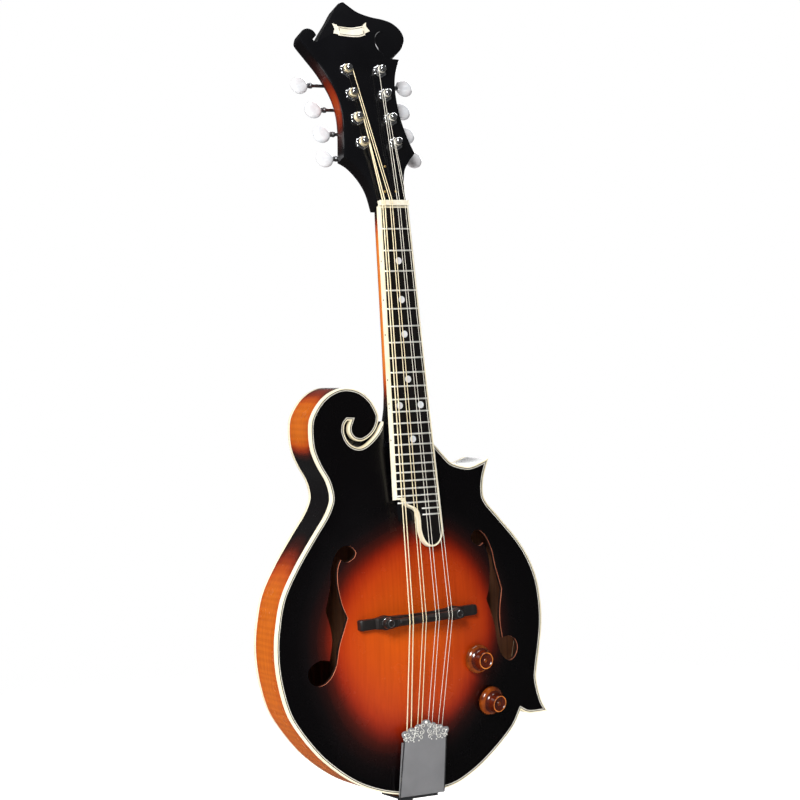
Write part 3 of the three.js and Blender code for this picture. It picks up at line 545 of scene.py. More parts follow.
def burst(name, stops, stretch, depth):
    """A sunburst over wood grain."""
    look = Look(name, Specular_IOR_Level=0.22, Coat_Weight=0.12, Coat_Roughness=0.08)
    grain = look.noise(stretch, 4.0, 0.62, 0.15)
    colour = look.tint(burst_colour(look, stops),
                       look.ramp(grain, [(0.32, (150, 120, 96)), (0.62, (255, 255, 255))]), depth)
    return varnished(look, colour, grain, 0.35)


def flamed(name, stops):
    """Maple with a curl across its grain, under a sunburst."""
    look = Look(name, Specular_IOR_Level=0.3, Coat_Weight=0.2, Coat_Roughness=0.1)
    bands = look.node("TexWave", {"Vector": look.place((6, 6, 90)), "Scale": 0.62, "Distortion": 5.5,
                                  "Detail": 3.0, "Detail Scale": 1.6}, bands_direction="Z").outputs["Fac"]
    grain = look.noise((420, 420, 18), 4.0, 0.6)
    colour = look.tint(burst_colour(look, stops),
                       look.ramp(bands, [(0.2, (190, 150, 118)), (0.8, (255, 248, 236))]), 0.2)
    colour = look.tint(colour, look.ramp(grain, [(0.35, (170, 140, 120)), (0.6, (255, 255, 255))]), 0.25)
    return varnished(look, colour, grain, 0.3)


def mottled(name, low, high, grain, roughness, depth=0.01, **values):
    """A colour that varies between two, with roughness and a fine surface to match."""
    look = Look(name, **values)
    pattern = look.noise(grain, 5.0, 0.6)
    look.set(Base_Color=look.ramp(pattern, [(0.3, low), (0.7, high)]),
             Roughness=look.spread(look.noise((45, 45, 45), 4.0), *roughness))
    return look.bump(pattern, depth, 0.5).material


def wound(name, low, high, pitch):
    """Metal wire with a winding on it: rings along the string, pitch millimetres apart. The colour is darker
    in the grooves between turns: painted shade.
    """
    look = Look(name, Metallic=0.3)
    waves = 1000 / pitch  # to the metre
    scale = waves * 2 * math.pi / WAVE_TEXTURE_RATE
    rings = look.node("TexWave", {"Vector": look.place((0, 0, 1)), "Scale": scale},
                      bands_direction="Z").outputs["Fac"]
    # the low colour in the grooves between turns is painted shade
    look.set(Base_Color=look.ramp(rings, [(0.1, low), (0.8, high)]),
             Roughness=look.spread(look.noise((80, 80, 80), 3.0), 0.22, 0.38))
    return look.bump(rings, 0.05, 0.6).material


def pearl_look(name, tone):
    """Mother-of-pearl: soft folded bands of near-white with a little colour in them."""
    look = Look(name, Coat_Weight=0.6, Coat_Roughness=0.05)
    folds = look.noise((110, 110, 110), 3.0, 0.55, 2.2)
    sheen = look.noise((60, 90, 60), 2.0, 0.5, 1.0)
    colour = look.ramp(folds, [(0.25, tuple(c * 0.98 for c in tone)), (0.5, tone), (0.75, (240, 240, 242))])
    tinge = look.ramp(sheen, [(0.3, (255, 250, 250)), (0.5, (255, 255, 255)), (0.7, (248, 252, 255))])
    look.set(Base_Color=look.tint(colour, tinge, 1.0),
             Roughness=look.spread(folds, 0.18, 0.3))
    return look.bump(folds, 0.02, 0.3).material


TOP_BURST = [(0.0, (208, 88, 14)), (0.2, (194, 78, 12)), (0.4, (182, 68, 11)), (0.54, (170, 56, 11)),
             (0.61, (150, 42, 9)), (0.65, (130, 31, 7)), (0.69, (96, 21, 7)), (0.73, (60, 15, 8)),
             (0.79, (28, 9, 8)), (0.86, (10, 6, 7)), (0.93, (4, 3, 4))]
SIDE_BURST = [(0.0, (188, 98, 20)), (0.3, (172, 72, 14)), (0.5, (124, 38, 12)), (0.72, (52, 15, 9)),
              (0.92, (13, 8, 9)), (1.0, (8, 6, 8))]
NECK_BURST = [(0.0, (214, 118, 34)), (0.35, (190, 84, 24)), (0.6, (128, 40, 14)), (0.8, (48, 15, 10)),
              (0.95, (12, 8, 9)), (1.0, (8, 7, 9))]

top_wood = burst("spruce_sunburst", TOP_BURST, (520, 520, 7), 0.18)
side_wood = flamed("maple_sunburst", SIDE_BURST)
neck_wood = burst("neck_sunburst", NECK_BURST, (300, 300, 9), 0.3)
bare_wood = mottled("bare_spruce", (176, 124, 80), (214, 168, 120), (300, 300, 8), (0.55, 0.75), 0.03)
# The f-holes' lip: a thin pale line of painted highlight along the cut edge
lip_highlight = mottled("f_hole_lip_painted_highlight", (196, 104, 74), (236, 150, 116), (260, 260, 30), (0.45, 0.6), 0.02)
cut_stain = mottled("cut_edge_stained", (14, 8, 7), (38, 18, 12), (260, 260, 30), (0.45, 0.6), 0.02)
# Unfinished inside maple, its colour darkened as painted shade inside the closed body
shaded_inside_wood = mottled("inside_maple_painted_shade", (104, 64, 40), (156, 102, 68), (300, 300, 8), (0.6, 0.8), 0.03)
ebony = mottled("ebony", (17, 15, 15), (36, 31, 29), (380, 380, 14), (0.34, 0.48), 0.02)
fret_ebony = mottled("fretboard_ebony", (9, 8, 9), (24, 20, 19), (420, 420, 16), (0.38, 0.52), 0.03,
                     Specular_IOR_Level=0.12)
lacquer = mottled("black_lacquer", (6, 6, 8), (10, 10, 13), (30, 30, 30), (0.16, 0.26), 0.004,
                  Specular_IOR_Level=0.3, Coat_Weight=0.2, Coat_Roughness=0.06)
# Black for purfling, side dots and ribbon lines, and as painted shade in the screws' slots
black_line_and_slot_shade = mottled("purfling_black_and_slot_shade", (8, 8, 8), (18, 16, 16), (200, 200, 200), (0.25, 0.35), 0.004)
white_line = mottled("purfling_white", (206, 200, 184), (228, 224, 212), (90, 90, 90), (0.25, 0.35), 0.004)
cream = mottled("cream_binding", (226, 212, 176), (246, 238, 214), (34, 34, 34), (0.24, 0.36), 0.006,
                Coat_Weight=0.35, Coat_Roughness=0.1)
bone = mottled("bone", (226, 216, 190), (246, 240, 224), (90, 90, 30), (0.28, 0.4), 0.01)
pearl = pearl_look("pearl", (222, 222, 224))
chrome = mottled("chrome", (196, 197, 200), (224, 225, 228), (60, 60, 60), (0.08, 0.2), 0.004,
                 Metallic=1.0)
nickel = mottled("nickel", (128, 129, 132), (156, 157, 160), (30, 30, 420), (0.26, 0.42), 0.008,
                 Metallic=1.0)
dark_metal = mottled("dark_steel", (70, 71, 74), (104, 105, 108), (60, 60, 60), (0.25, 0.4), 0.008,
                     Metallic=1.0)
brass = mottled("brass", (178, 140, 74), (212, 176, 104), (80, 80, 80), (0.22, 0.36), 0.008,
                Metallic=1.0)
nickel_plate = mottled("cover_nickel", (128, 128, 130), (142, 142, 144), (24, 24, 24), (0.42, 0.55), 0.004,
                       Metallic=0.35)
# Near-white nickel for the frets, also painted onto the cover's filigree as a glint
fret_and_glint_metal = mottled("fret_nickel_and_glint", (236, 234, 226), (255, 254, 248), (120, 120, 120), (0.22, 0.36), 0.006,
                     Metallic=0.5)
bronze_wound = wound("bronze_wound", (226, 196, 136), (255, 248, 220), 1.0)
plain_steel = mottled("plain_steel", (232, 226, 210), (255, 250, 236), (40, 40, 90), (0.3, 0.42), 0.004,
                      Metallic=0.25)
amber = mottled("amber_plastic", (78, 26, 5), (150, 70, 14), (130, 130, 130), (0.14, 0.24), 0.004,
                Coat_Weight=0.4, Coat_Roughness=0.04, Transmission_Weight=0.06, IOR=1.49)
# Darker amber for the knobs' top recess and the cap's side: painted shade
shaded_amber = mottled("shaded_amber", (52, 12, 4), (84, 26, 8), (130, 130, 130), (0.16, 0.26), 0.004,
                     Coat_Weight=0.4, Coat_Roughness=0.04)
# Brighter amber for the rim round the knobs' top: a painted highlight
highlit_amber = mottled("amber_painted_highlight", (178, 88, 28), (222, 132, 54), (130, 130, 130), (0.14, 0.24), 0.004,
                   Coat_Weight=0.4, Coat_Roughness=0.04)


# ---- the body ----
def top_burst_with_painted_shade(points):
    """0 in the middle of the top's sunburst and 1 where it is black, with painted shade deepening the treble
    side of its middle.
    """
    x, z = points.T
    across = (x + 5 - 0.08 * z) / 83
    along = np.where(z > -15, ((z + 15) / 86) ** 2, (np.abs(z + 15) / 91) ** 1.5)
    ring = np.sqrt(across ** 2 + along) / 1.4
    # painted shade: the burst's middle is darker towards the treble side, as if lit from the bass side
    ring += 0.12 * smoothstep(x, -40, 30) * (1 - smoothstep(ring, 0.35, 0.6))
    return np.clip(np.maximum(ring, 1.35 - distance(points, BODY_EDGE) / 14), 0, 1)


def carved(points, faces, depth, crown, front):
    """A carved plate's outer points, at crown times the arching, and the inner ones behind them."""
    y = crown * smoothstep(membrane(points, faces))
    outer = np.stack([points[:, 0], y + (0 if front else RIM_DEPTH), points[:, 1]], 1)
    inner = outer + (0, depth if front else -depth, 0)
    return outer, inner


def skin(outer, inner, faces, values, front):
    """Closes a plate's two sides. Gives the part, each face's kind (0 outer, 1 inner, 2 the wall's
    lip, 3 the rest of the wall) and the vertices' values."""
    used, faces = np.unique(faces, return_inverse=True)
    faces = faces.reshape(-1, 3)
    outer, inner, values = outer[used], inner[used], np.tile(values[used], 2)
    count = len(outer)
    turn = 1 if front else -1
    made = [tuple(f[::turn]) for f in faces] + [tuple((f + count)[::-turn]) for f in faces]
    kinds = [0] * len(faces) + [1] * len(faces)
    edges = rim_edges(faces)
    border = sorted({a for a, _ in edges})
    lip = {v: 2 * count + i for i, v in enumerate(border)}
    for a, b in edges:
        made.append((a, lip[a], lip[b], b)[::turn])
        made.append((lip[a], a + count, b + count, lip[b])[::turn])
        kinds += [2, 3]
    lips = outer[border] + 0.18 * (inner[border] - outer[border])
    return (np.concatenate([outer, inner, lips]), made), kinds, np.concatenate([values, values[border]])


def soundboard():
    """The carved top with its f-holes and the holes for the knobs' shafts. Returns its height by X, Z."""
    turns = around(24)
    ring = (KNOB["shaft"] + 1) * np.stack([np.cos(turns), np.sin(turns)], 1)
    holes = F_HOLES + [ring + knob_frame(name)[[0, 2], 3] for name in KNOB_NAMES]
    points, faces = sheet(PLATE_EDGE, holes, PLATE_CELL)
    outer, inner = carved(points, faces, PLATE, -TOP_ARCH, True)
    middle = points[faces].mean(1)
    solid = ~np.any([inside(middle, hole) for hole in holes], axis=0)
    part, kinds, shade = skin(outer, inner, faces[solid], top_burst_with_painted_shade(points), True)
    # the f-holes' lip (kind 2) carries the pale painted highlight, the rest of their wall the dark stain
    piece("carved_top", part, [top_wood, bare_wood, lip_highlight, cut_stain], slots=kinds,
          values={"burst": shade}, replaces=["soundboard"], sharp=50)
    tree = BVHTree.FromPolygons([Vector(p) for p in outer], faces.tolist())
    return lambda x, z: tree.ray_cast(Vector((x, -80, z)), Vector((0, 1, 0)))[0][1]


def back():
    points, faces = sheet(PLATE_EDGE, [], PLATE_CELL + 0.8)
    outer, inner = carved(points, faces, PLATE, BACK_ARCH, False)
    ring = np.hypot(points[:, 0] / 82, (points[:, 1] + 22) / 92) / 1.4
    edge = 1 - distance(points, BODY_EDGE) / 20
    shade = np.clip(np.maximum(ring, edge), 0, 1)
    part, kinds, shade = skin(outer, inner, faces, shade, False)
    piece("carved_back", part, [side_wood, shaded_inside_wood, bare_wood, bare_wood], slots=kinds,
          values={"burst": shade}, replaces=["back_plate"], sharp=50)


def rings_along(loop, levels):
    """Rings of points along an outline, one for each (distance in, Y)."""
    depths = sorted({d for d, _ in levels})
    moved = dict(zip(depths, insets(loop, depths)))
    return [np.stack([moved[d][:, 0], np.full(len(loop), y), moved[d][:, 1]], 1) for d, y in levels]


def band(loop, section):
    """A ring along an outline. The section is a closed list of (distance in, Y), back to front outside."""
    return loft(rings_along(loop, section), closed=True)


def moulded(loop, levels):
    """A solid over an outline. levels are (distance in, Y) from the back to the front."""
    return loft(rings_along(loop, levels))


def bindings():
    """The cream binding with its black, white and black purfling lines, round the front and the back."""
    front = [(0, BINDING_DEPTH), (0, 0.5), (0.15, 0.15), (0.5, 0), (1.3, 0), (2.0, 0), (2.6, 0),
             (BINDING, 0), (BINDING, BINDING_DEPTH)]
    strips = [0, 0, 0, 0, 1, 2, 1, 0, 0]
    rear = RIM_DEPTH
    behind = [(0, rear - 0.5), (0, rear - PLATE), (BINDING, rear - PLATE), (BINDING, rear), (0.5, rear),
              (0.15, rear - 0.15)]
    x, z = BODY_EDGE.T
    at_joint = (x > JOINT_SPAN[0]) & (x < JOINT_SPAN[1]) & (z > NECK_JOINT - 0.5)
    piece("front_binding", band(BODY_EDGE, front), [cream, black_line_and_slot_shade, white_line, lacquer],
          slots=np.where(at_joint, 3, np.array(strips)[:, None]).ravel(), replaces=["top_binding"])
    piece("rear_binding", band(BODY_EDGE, behind), [cream, lacquer], slots=np.tile(at_joint, len(behind)),
          replaces=["back_binding"])


def side_shade(x, z):
    """The side is black at the waist, the points and the horn, and orange between them."""
    waist = smoothstep(z, 24, 92) * (1 - smoothstep(z, 130, 158))
    shoulder = smoothstep(x, 5, 60) * smoothstep(z, 60, 95)
    point = np.exp(-(((x - 128) / 16) ** 2 + ((z + 92) / 26) ** 2))
    inner_scroll = smoothstep(x, -66, -52) * smoothstep(z, 130, 150)
    top = smoothstep(z, 180, 196)
    return np.clip(waist + shoulder + point + inner_scroll + 0.5 * top, 0, 1)


def rim():
    depths = np.linspace(RIM_DEPTH - PLATE, BINDING_DEPTH, 9)
    section = [(0, y) for y in depths] + [(RIM_WALL, BINDING_DEPTH), (RIM_WALL, RIM_DEPTH - PLATE)]
    part = band(BODY_EDGE, section)
    x, y, z = part[0].T
    edge = 0.14 * (np.abs(y - SIDE_MIDDLE) / SIDE_REACH) ** 3
    shade = np.clip(0.06 + side_shade(x, z) + edge, 0, 1)
    kinds = np.repeat([0] * 8 + [1] * 3, len(BODY_EDGE))
    piece("bent_side", part, [side_wood, shaded_inside_wood], slots=kinds, values={"burst": shade},
          replaces=["rim"], sharp=28)


# ---- the neck and headstock ----
NECK_SECTIONS = [(-4, 16, 14), (3, 19.6, 14), (20, 20.6, 14.5), (60, 21, 15.6), (120, 22.2, 17.2),
                 (158, 24, 18.3), (172, 28, 18.7), (184, 36, 19), (194, 46, 19.2), (202, 53, 19.4),
                 (208, 55.6, 19.5), (214, 56, 19.6)]


def neck_shaft():
    """The neck's wood in its own frame, from the headstock to where the heel meets the body's end."""
    stops = np.array(NECK_SECTIONS, float)
    fine = np.linspace(stops[0, 0], stops[-1, 0], 220)
    weight = np.exp(-(((fine[:, None] - fine[None]) / 3) ** 2))
    weight /= weight.sum(1)[:, None]
    back_depth = weight @ np.interp(fine, stops[:, 0], stops[:, 1])
    half = weight @ np.interp(fine, stops[:, 0], stops[:, 2])
    front = FRETBOARD + 0.02
    angles = np.linspace(0, math.pi, 33)
    bulge = np.sin(angles) ** 0.8

    def depth(s):
        return front + (np.interp(s, fine, back_depth) - front) * bulge

    end = np.full(len(angles), 200.0)
    for _ in range(12):
        end = (NECK_FRAME[2, 3] - NECK_JOINT - 0.1 - depth(end) * math.sin(NECK_TILT)) / math.cos(NECK_TILT)
    start = stops[0, 0]
    rings = [np.stack([np.interp(s, fine, half) * np.cos(angles), depth(s), -s], 1)
             for s in (start + part * (end - start) for part in np.linspace(1, 0, 110))]
    return loft(rings)


def neck():
    points, faces = neck_shaft()
    s = -points[:, 2]
    shade = 0.05 + smoothstep(s, 128, 184) + smoothstep(-s, -34, 4) + 0.2 * smoothstep(points[:, 1], 14, 24)
    piece("neck_shaft", (points, faces), neck_wood, NECK_FRAME, values={"burst": np.clip(shade, 0, 1)},
          replaces=["neck"], sharp=60)
    headstock()


def headstock():
    edge = outline(HEAD, 1.4)
    levels = [(0.8, HEAD_THICKNESS), (0.25, HEAD_THICKNESS - 0.25), (0, HEAD_THICKNESS - 0.8),
              (0, 11.5), (0, 8), (0, 5), (0, OVERLAY + 0.1)]
    points, faces = moulded(edge, levels)
    t = points[:, 2]
    glow = np.exp(-(((t - 99) / 30) ** 2)) * (1 - 0.45 * smoothstep(np.abs(points[:, 1] - 8), 3, 7))
    side = np.where(points[:, 0] < 40, glow, 0)
    piece("headstock", (points, faces), neck_wood, HEAD_FRAME,
          values={"burst": np.clip(1 - 0.46 * side, 0, 1)}, sharp=40)
    face = [(0, OVERLAY + 0.1), (0, 0.7), (0.2, 0.22), (0.7, 0)]
    piece("headstock_face", moulded(edge, face), lacquer, HEAD_FRAME, replaces=["headstock_overlay"],
          sharp=40)
    headstock_trim()


def screw(x, z, y, radius, out, angle):
    """A small domed screw with a slot, its head on the plane y and facing out (-1 front, 1 back). The slot is
    a black bar standing on the head: painted shade.
    """
    dome = [(radius, 0), (radius, 0.25), (radius * 0.86, 0.6), (radius * 0.55, 0.82), (radius * 0.15, 0.9)]
    head = turned([(r, -h) for r, h in dome][::-1], 20)
    slot = box((-radius * 0.8, -0.98, -radius * 0.12), (radius * 0.8, -0.5, radius * 0.12))
    slot = placed(turn_y(angle), slot)
    flip = turn_x(0 if out < 0 else math.pi)
    move = shift(x, y, z) @ flip
    return placed(move, head), placed(move, slot)


def screws(name, places, metal, radius, out):
    """Screws in the headstock, each turned differently, at places given as (X, Z, Y)."""
    heads, slots = zip(*[screw(*place, radius, out, 0.5 + 0.7 * i) for i, place in enumerate(places)])
    points, faces = merged(*heads, *slots)
    in_heads = sum(len(head[1]) for head in heads)
    kinds = [0] * in_heads + [1] * (len(faces) - in_heads)
    # the slots are painted shade in black
    piece(name, (points, faces), [metal, black_line_and_slot_shade], HEAD_FRAME, slots=kinds)


def headstock_trim():
    bell = [[(6.5, 8.2), (9.6, 15), (8.8, 24), (3.6, 32), (0, 43.4)],
            [(0, 43.4), (-3.6, 32), (-8.8, 24), (-9.6, 15), (-6.5, 8.2)], [(-6.5, 8.2), (6.5, 8.2)]]
    cover = moulded(outline(bell, 1.0), [(0, -0.05), (0, -1.3), (0.25, -1.7), (0.7, -1.8)])
    piece("truss_cover", cover, lacquer, HEAD_FRAME, replaces=["truss_rod_cover"])
    places = [(0, 36.5, -1.75), (-5.4, 13, -1.75), (5.4, 13, -1.75)]
    screws("truss_cover_screws", places, brass, 1.3, -1)
    ribbon = [[(-16.4, 163.2), (-5, 162.2), (3, 162.4), (10.2, 164.4)], [(10.2, 164.4), (9.8, 173.6)],
              [(9.8, 173.6), (2, 171.8), (-5, 171.2), (-16, 172.2)], [(-16, 172.2), (-16.4, 163.2)]]
    bands = [moulded(outline(ribbon, 1.0), [(0, 0), (0, -0.35), (0.2, -0.5)])]
    for tail in ([(-16.2, 164.2), (-21.2, 165.2), (-19, 169.4), (-20.2, 174.8), (-15.8, 173.6)],
                 [(10, 174.4), (13.8, 177.4), (13, 173), (15.8, 168.8), (10.4, 166.2)]):
        loop = np.array(tail, float)
        area = np.sum(loop[:, 0] * np.roll(loop[:, 1], -1) - loop[:, 1] * np.roll(loop[:, 0], -1))
        bands.append(moulded(loop if area > 0 else loop[::-1], [(0, 0), (0, -0.25)]))
    piece("headstock_ribbon", merged(*bands), bone, HEAD_FRAME)
    edges = ([(-15, 164.6), (-5, 163.6), (3, 163.8), (9, 165.5)], [(9, 165.5), (8.7, 172)],
             [(8.7, 172), (2, 170.4), (-5, 169.8), (-14.7, 170.8)], [(-14.7, 170.8), (-15, 164.6)])
    lines = [tube([(x, -0.52, z) for x, z in spline(edge, 1.0)], 0.26, 6) for edge in edges]
    piece("ribbon_lines", merged(*lines), black_line_and_slot_shade, HEAD_FRAME)
    curl = spline([(30.2, 142.8), (22.4, 148), (18.9, 156), (20.4, 163.6), (25.4, 168.2), (31.6, 168)],
                  0.8)
    swell = 0.25 + 0.6 * np.sin(np.linspace(0.15, math.pi - 0.2, len(curl)))
    piece("headstock_curl", tube([(x, 0.15, z) for x, z in curl], swell, 10), lacquer, HEAD_FRAME)


def half_width(s):
    return NUT_HALF + NECK_FLARE * s


def fret_at(n):
    return SCALE_LENGTH * (1 - 2 ** (-n / 12))


def fretboard_outline():
    """A short bass side, a scalloped end and a tongue that runs on under the treble strings."""
    return outline([
        [(half_width(0), 0), (-half_width(0), 0)], [(-half_width(0), 0), (-half_width(250), -250.5)],
        [(-half_width(250), -250.5), (-14, -250.5)], [(-14, -250.5), (-11, -255.6), (-6, -258)],
        [(-6, -258), (-2, -260.6), (-0.4, -266), (0, -278), (2.4, -286), (6.4, -290.6), (11.2, -292),
         (16, -290.6), (19.4, -287), (half_width(280), -280), (half_width(266), -266)],
        [(half_width(266), -266), (half_width(0), 0)]])


def fretboard():
    edge = fretboard_outline()
    strip = FRETBOARD_BINDING
    board = moulded(insets(edge, [strip])[0], [(0, FRETBOARD), (0, 0)])
    piece("fingerboard", board, fret_ebony, NECK_FRAME, replaces=["fretboard"])
    section = [(0, FRETBOARD), (0, 0.4), (0.12, 0.12), (0.4, 0), (strip, 0), (strip, FRETBOARD)]
    piece("fingerboard_binding", band(edge, section), cream, NECK_FRAME, replaces=["fretboard_binding"])
    frets = []
    for n in range(1, FRETS + 1):
        s = fret_at(n)
        far = half_width(s) - strip + 0.1
        near = 3.2 if n > FRETS - HALF_FRETS else -far
        crown = [(-1.05 * math.sin(a) ** 0.8 - 0.02, 0.68 * math.cos(a))
                 for a in np.linspace(math.pi, 0, 9)]
        rings = [[(x, y * k, z * (0.6 + 0.4 * k) - s) for y, z in crown[::-1]]
                 for x, k in ((near, 0.45), (near + 0.5, 1), (far - 0.5, 1), (far, 0.45))]
        frets.append(loft(rings))
    piece("frets", merged(*frets), fret_and_glint_metal, NECK_FRAME, replaces=["fret_set"], sharp=70)
    dots, side_dots = [], []
    for n in (3, 5, 7, 10, 12, 15):
        s = (fret_at(n) + fret_at(n - 1)) / 2
        for x in ((-10.2, 10.2) if n == 12 else (0,)):
            dots.append(placed(shift(x, 0, -s), turned([(3.0, -0.06), (3.0, 0.5)], 28)))
        for shift_along in ((-2, 2) if n == 12 else (0,)):
            side_dots.append(tube([(-half_width(s) - 0.06, 2.6, -s + shift_along),
                                   (-half_width(s) + 0.4, 2.6, -s + shift_along)], 0.85, 12))
    piece("position_dots", merged(*dots), pearl, NECK_FRAME)
    piece("side_dots", merged(*side_dots), black_line_and_slot_shade, NECK_FRAME)


# ---- the tuners ----
def post_place(side, i):
    return side * TUNER["side"], TUNER["first"] + i * TUNER["step"]


def bushings():
    """A scalloped chrome bushing round each post on the headstock's face."""
    section = [(3.25, -2.6), (3.5, -2.9), (4.3, -2.8), (4.6, -2.3), (4.7, -1.5), (5.4, -1.3), (5.9, -0.9),
               (6.0, -0.4), (6.0, 0), (3.25, 0)]
    ring = turned(section, 72, closed=True, lobes=6, wave=0.42, beyond=5)
    places = [post_place(side, i) for _, side in SIDES for i in range(4)]
    rings = [placed(shift(x, 0, z), ring) for x, z in places]
    piece("post_bushings", merged(*rings), chrome, HEAD_FRAME, sharp=40)


def post_and_gear(name, side, i):
    x, z = post_place(side, i)
    back = WORM["depth"] + TUNER["wheel"] / 2
    r = TUNER["post"]
    profile = [(0.5, -9), (1.7, -8.95), (2.6, -8.5), (3.0, -7.8), (3.0, -7.2), (2.75, -6.7), (r - 0.1, -6.3),
               (r - 0.1, -4.2), (r, -3.8), (r, 15.5), (2.0, 16), (2.0, back), (0.5, back)]
    post = placed(shift(x, 0, z), turned(profile, 32))
    tooth = 2 * math.pi / TUNER["teeth"]
    teeth = [(radius * math.cos((n + part) * tooth) + x, radius * math.sin((n + part) * tooth) + z)
             for n in range(TUNER["teeth"])
             for radius, part in ((2.9, 0), (TUNER["gear"], 0.18), (TUNER["gear"], 0.42), (2.9, 0.6))]
    gear = moulded(np.array(teeth), [(0, back), (0, back - TUNER["wheel"])])
    parts = (post, gear, *screw(x, z, back, 2.0, 1, 0.4 + i))
    kinds = np.repeat([0, 1, 2, 3], [len(part[1]) for part in parts])
    node = f"{name}_post_{i + 1}"
    # the screw's slot (kind 3) is painted shade in black
    piece(f"{name}_string_post_{i + 1}", merged(*parts), [chrome, brass, nickel, black_line_and_slot_shade], HEAD_FRAME,
          node, slots=kinds, replaces=[node], sharp=40)


def worm(near, far):
    """The threaded part of a tuner's shaft, along Y."""
    sides = 24
    angles = around(sides)
    rings = []
    for y in np.arange(near, far, 0.14):
        ease = min(1.0, (y - near) / 0.4, (far - y) / 0.4)
        r = WORM["radius"] + 0.28 * ease * np.cos(2 * math.pi * y / WORM["pitch"] - angles)
        rings.append(np.stack([r * np.sin(angles), np.full(sides, y), r * np.cos(angles)], 1))
    return loft(rings)


def button(name, side, i):
    """A pearl button on its nickel shaft, with the worm that turns the post's gear."""
    node = f"{name}_button_{i + 1}"
    reach = BUTTON_REACH[name][i]
    z = TUNER["first"] + i * TUNER["step"] - WORM["offset"]
    place = shift(0, WORM["depth"], z) @ turn_z(-side * math.pi / 2)
    r = WORM["shaft"]
    inner = turned([(0.5, 10.8), (r, 11), (r, 13.2), (1.2, 13.3)], 24)
    stem = [(r, 13), (2.1, 12.6), (2.5, 12), (2.5, 10.4), (2.1, 9.8), (2.3, 9), (2.0, 7.6), (1.6, 6.6),
            (0.5, 6.4)]
    outer = turned([(1.2, 19.7), (r, 19.9), *((wide, reach - left) for wide, left in stem)], 24)
    piece(f"{name}_button_shaft_{i + 1}", merged(inner, worm(13, 20), outer), nickel, HEAD_FRAME @ place,
          node, sharp=40)
    thick, radius = BUTTON["thickness"] / 2, BUTTON["radius"]
    half = [(0.5, 0), (3.4, 0.04), (5.6, 0.28), (6.9, 0.85), (7.7, 1.7)]
    profile = [(r, d - thick) for r, d in half] + [(radius, 0)] + [(r, thick - d) for r, d in half[::-1]]
    disc = placed(shift(side * reach, WORM["depth"], z), turned(profile, 48))
    piece(f"{name}_pearl_button_{i + 1}", disc, pearl, HEAD_FRAME, node, replaces=[node],
          sharp=60)


def tuners():
    bushings()
    for name, side in SIDES:
        for i in range(4):
            post_and_gear(name, side, i)
            button(name, side, i)
        middle = [TUNER["first"] + (i + 0.5) * TUNER["step"] for i in (-0.9, 0, 1, 2, 2.9)]
        places = [(side * TUNER["side"], z + 1, HEAD_THICKNESS + GAP + 1.2) for z in middle]
        screws(f"{name}_plate_screws", places, nickel, 1.5, 1)


# ---- the strings ----
def string_plan():
    """Each string's name, course, X at the nut, bridge and tail, the side of its post and its place."""
    for i, course in enumerate(COURSES):
        for pair, half in enumerate((-1, 1)):
            at = {key: (i - 1.5) * COURSE_STEP[key] + half * PAIR_STEP[key] / 2 for key in COURSE_STEP}
            side = -1 if i < 2 else 1
            yield f"{course}{pair + 1}", course, at, side, i * 2 + pair if side < 0 else 7 - i * 2 - pair


def straight(start, end, count):
    return np.linspace(start, end, count + 1)


def strings():
    for name, course, at, side, index in string_plan():
        r = STRING_RADIUS[course]
        metal, finish = (bronze_wound, "bronze") if course in "gd" else (plain_steel, "steel")
        x = at["bridge"] + 1
        hook = apply(TAIL_FRAME, (at["tail"], 2.9, 9.6))[0]
        saddle = np.array([x, SADDLE_TOP - r, x * math.sin(BRIDGE["slant"]) + 0.6])
        nut = apply(NECK_FRAME, (at["nut"], NUT_SEAT - r, 5.2))[0]
        nut_front = apply(NECK_FRAME, (at["nut"], NUT_SEAT - r, 0.4))[0]
        wrap = TUNER["post"] + 0.15 + r
        post_x, post_z = post_place(side, index)
        post = apply(HEAD_FRAME, (post_x - side * wrap, STRING_LEVEL, post_z))[0]
        speaking = np.concatenate([straight(post, nut, 12), straight(nut_front, saddle, 60)])
        runs = (("speaking", speaking, nut_front, [f"string_{name}"]),
                ("tail", straight(hook, saddle, 40), hook, []))
        for run, path, start, replaces in runs:
            made = piece(f"{run}_string_{name}", tube(path, r, 8), metal, body=None, replaces=replaces,
                         sharp=80)
            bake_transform(made)
        winding(name, side, index, wrap, r, metal)


def winding(name, side, index, wrap, r, metal):
    """The string's last turns, down its post towards the headstock."""
    x, z = post_place(side, index)
    turns = 3.2
    count = int(turns * 24)
    angles = np.arange(count + 1) * 2 * math.pi / 24
    path = [(x - side * wrap * math.cos(a), STRING_LEVEL - 0.9 * r + a / (2 * math.pi) * 2.05 * r,
             z + wrap * math.sin(a)) for a in angles]
    post = f"{'bass' if side < 0 else 'treble'}_post_{index + 1}"
    piece(f"winding_{name}", tube(path, r, 8), metal, HEAD_FRAME, post, sharp=80)


# ---- the bridge ----
def along_bridge(stations, section):
    """A bar along the bridge. The section gives (Y, Z) points anticlockwise as seen from the treble side."""
    return loft([[(x, y, z) for y, z in section(x)] for x in stations])


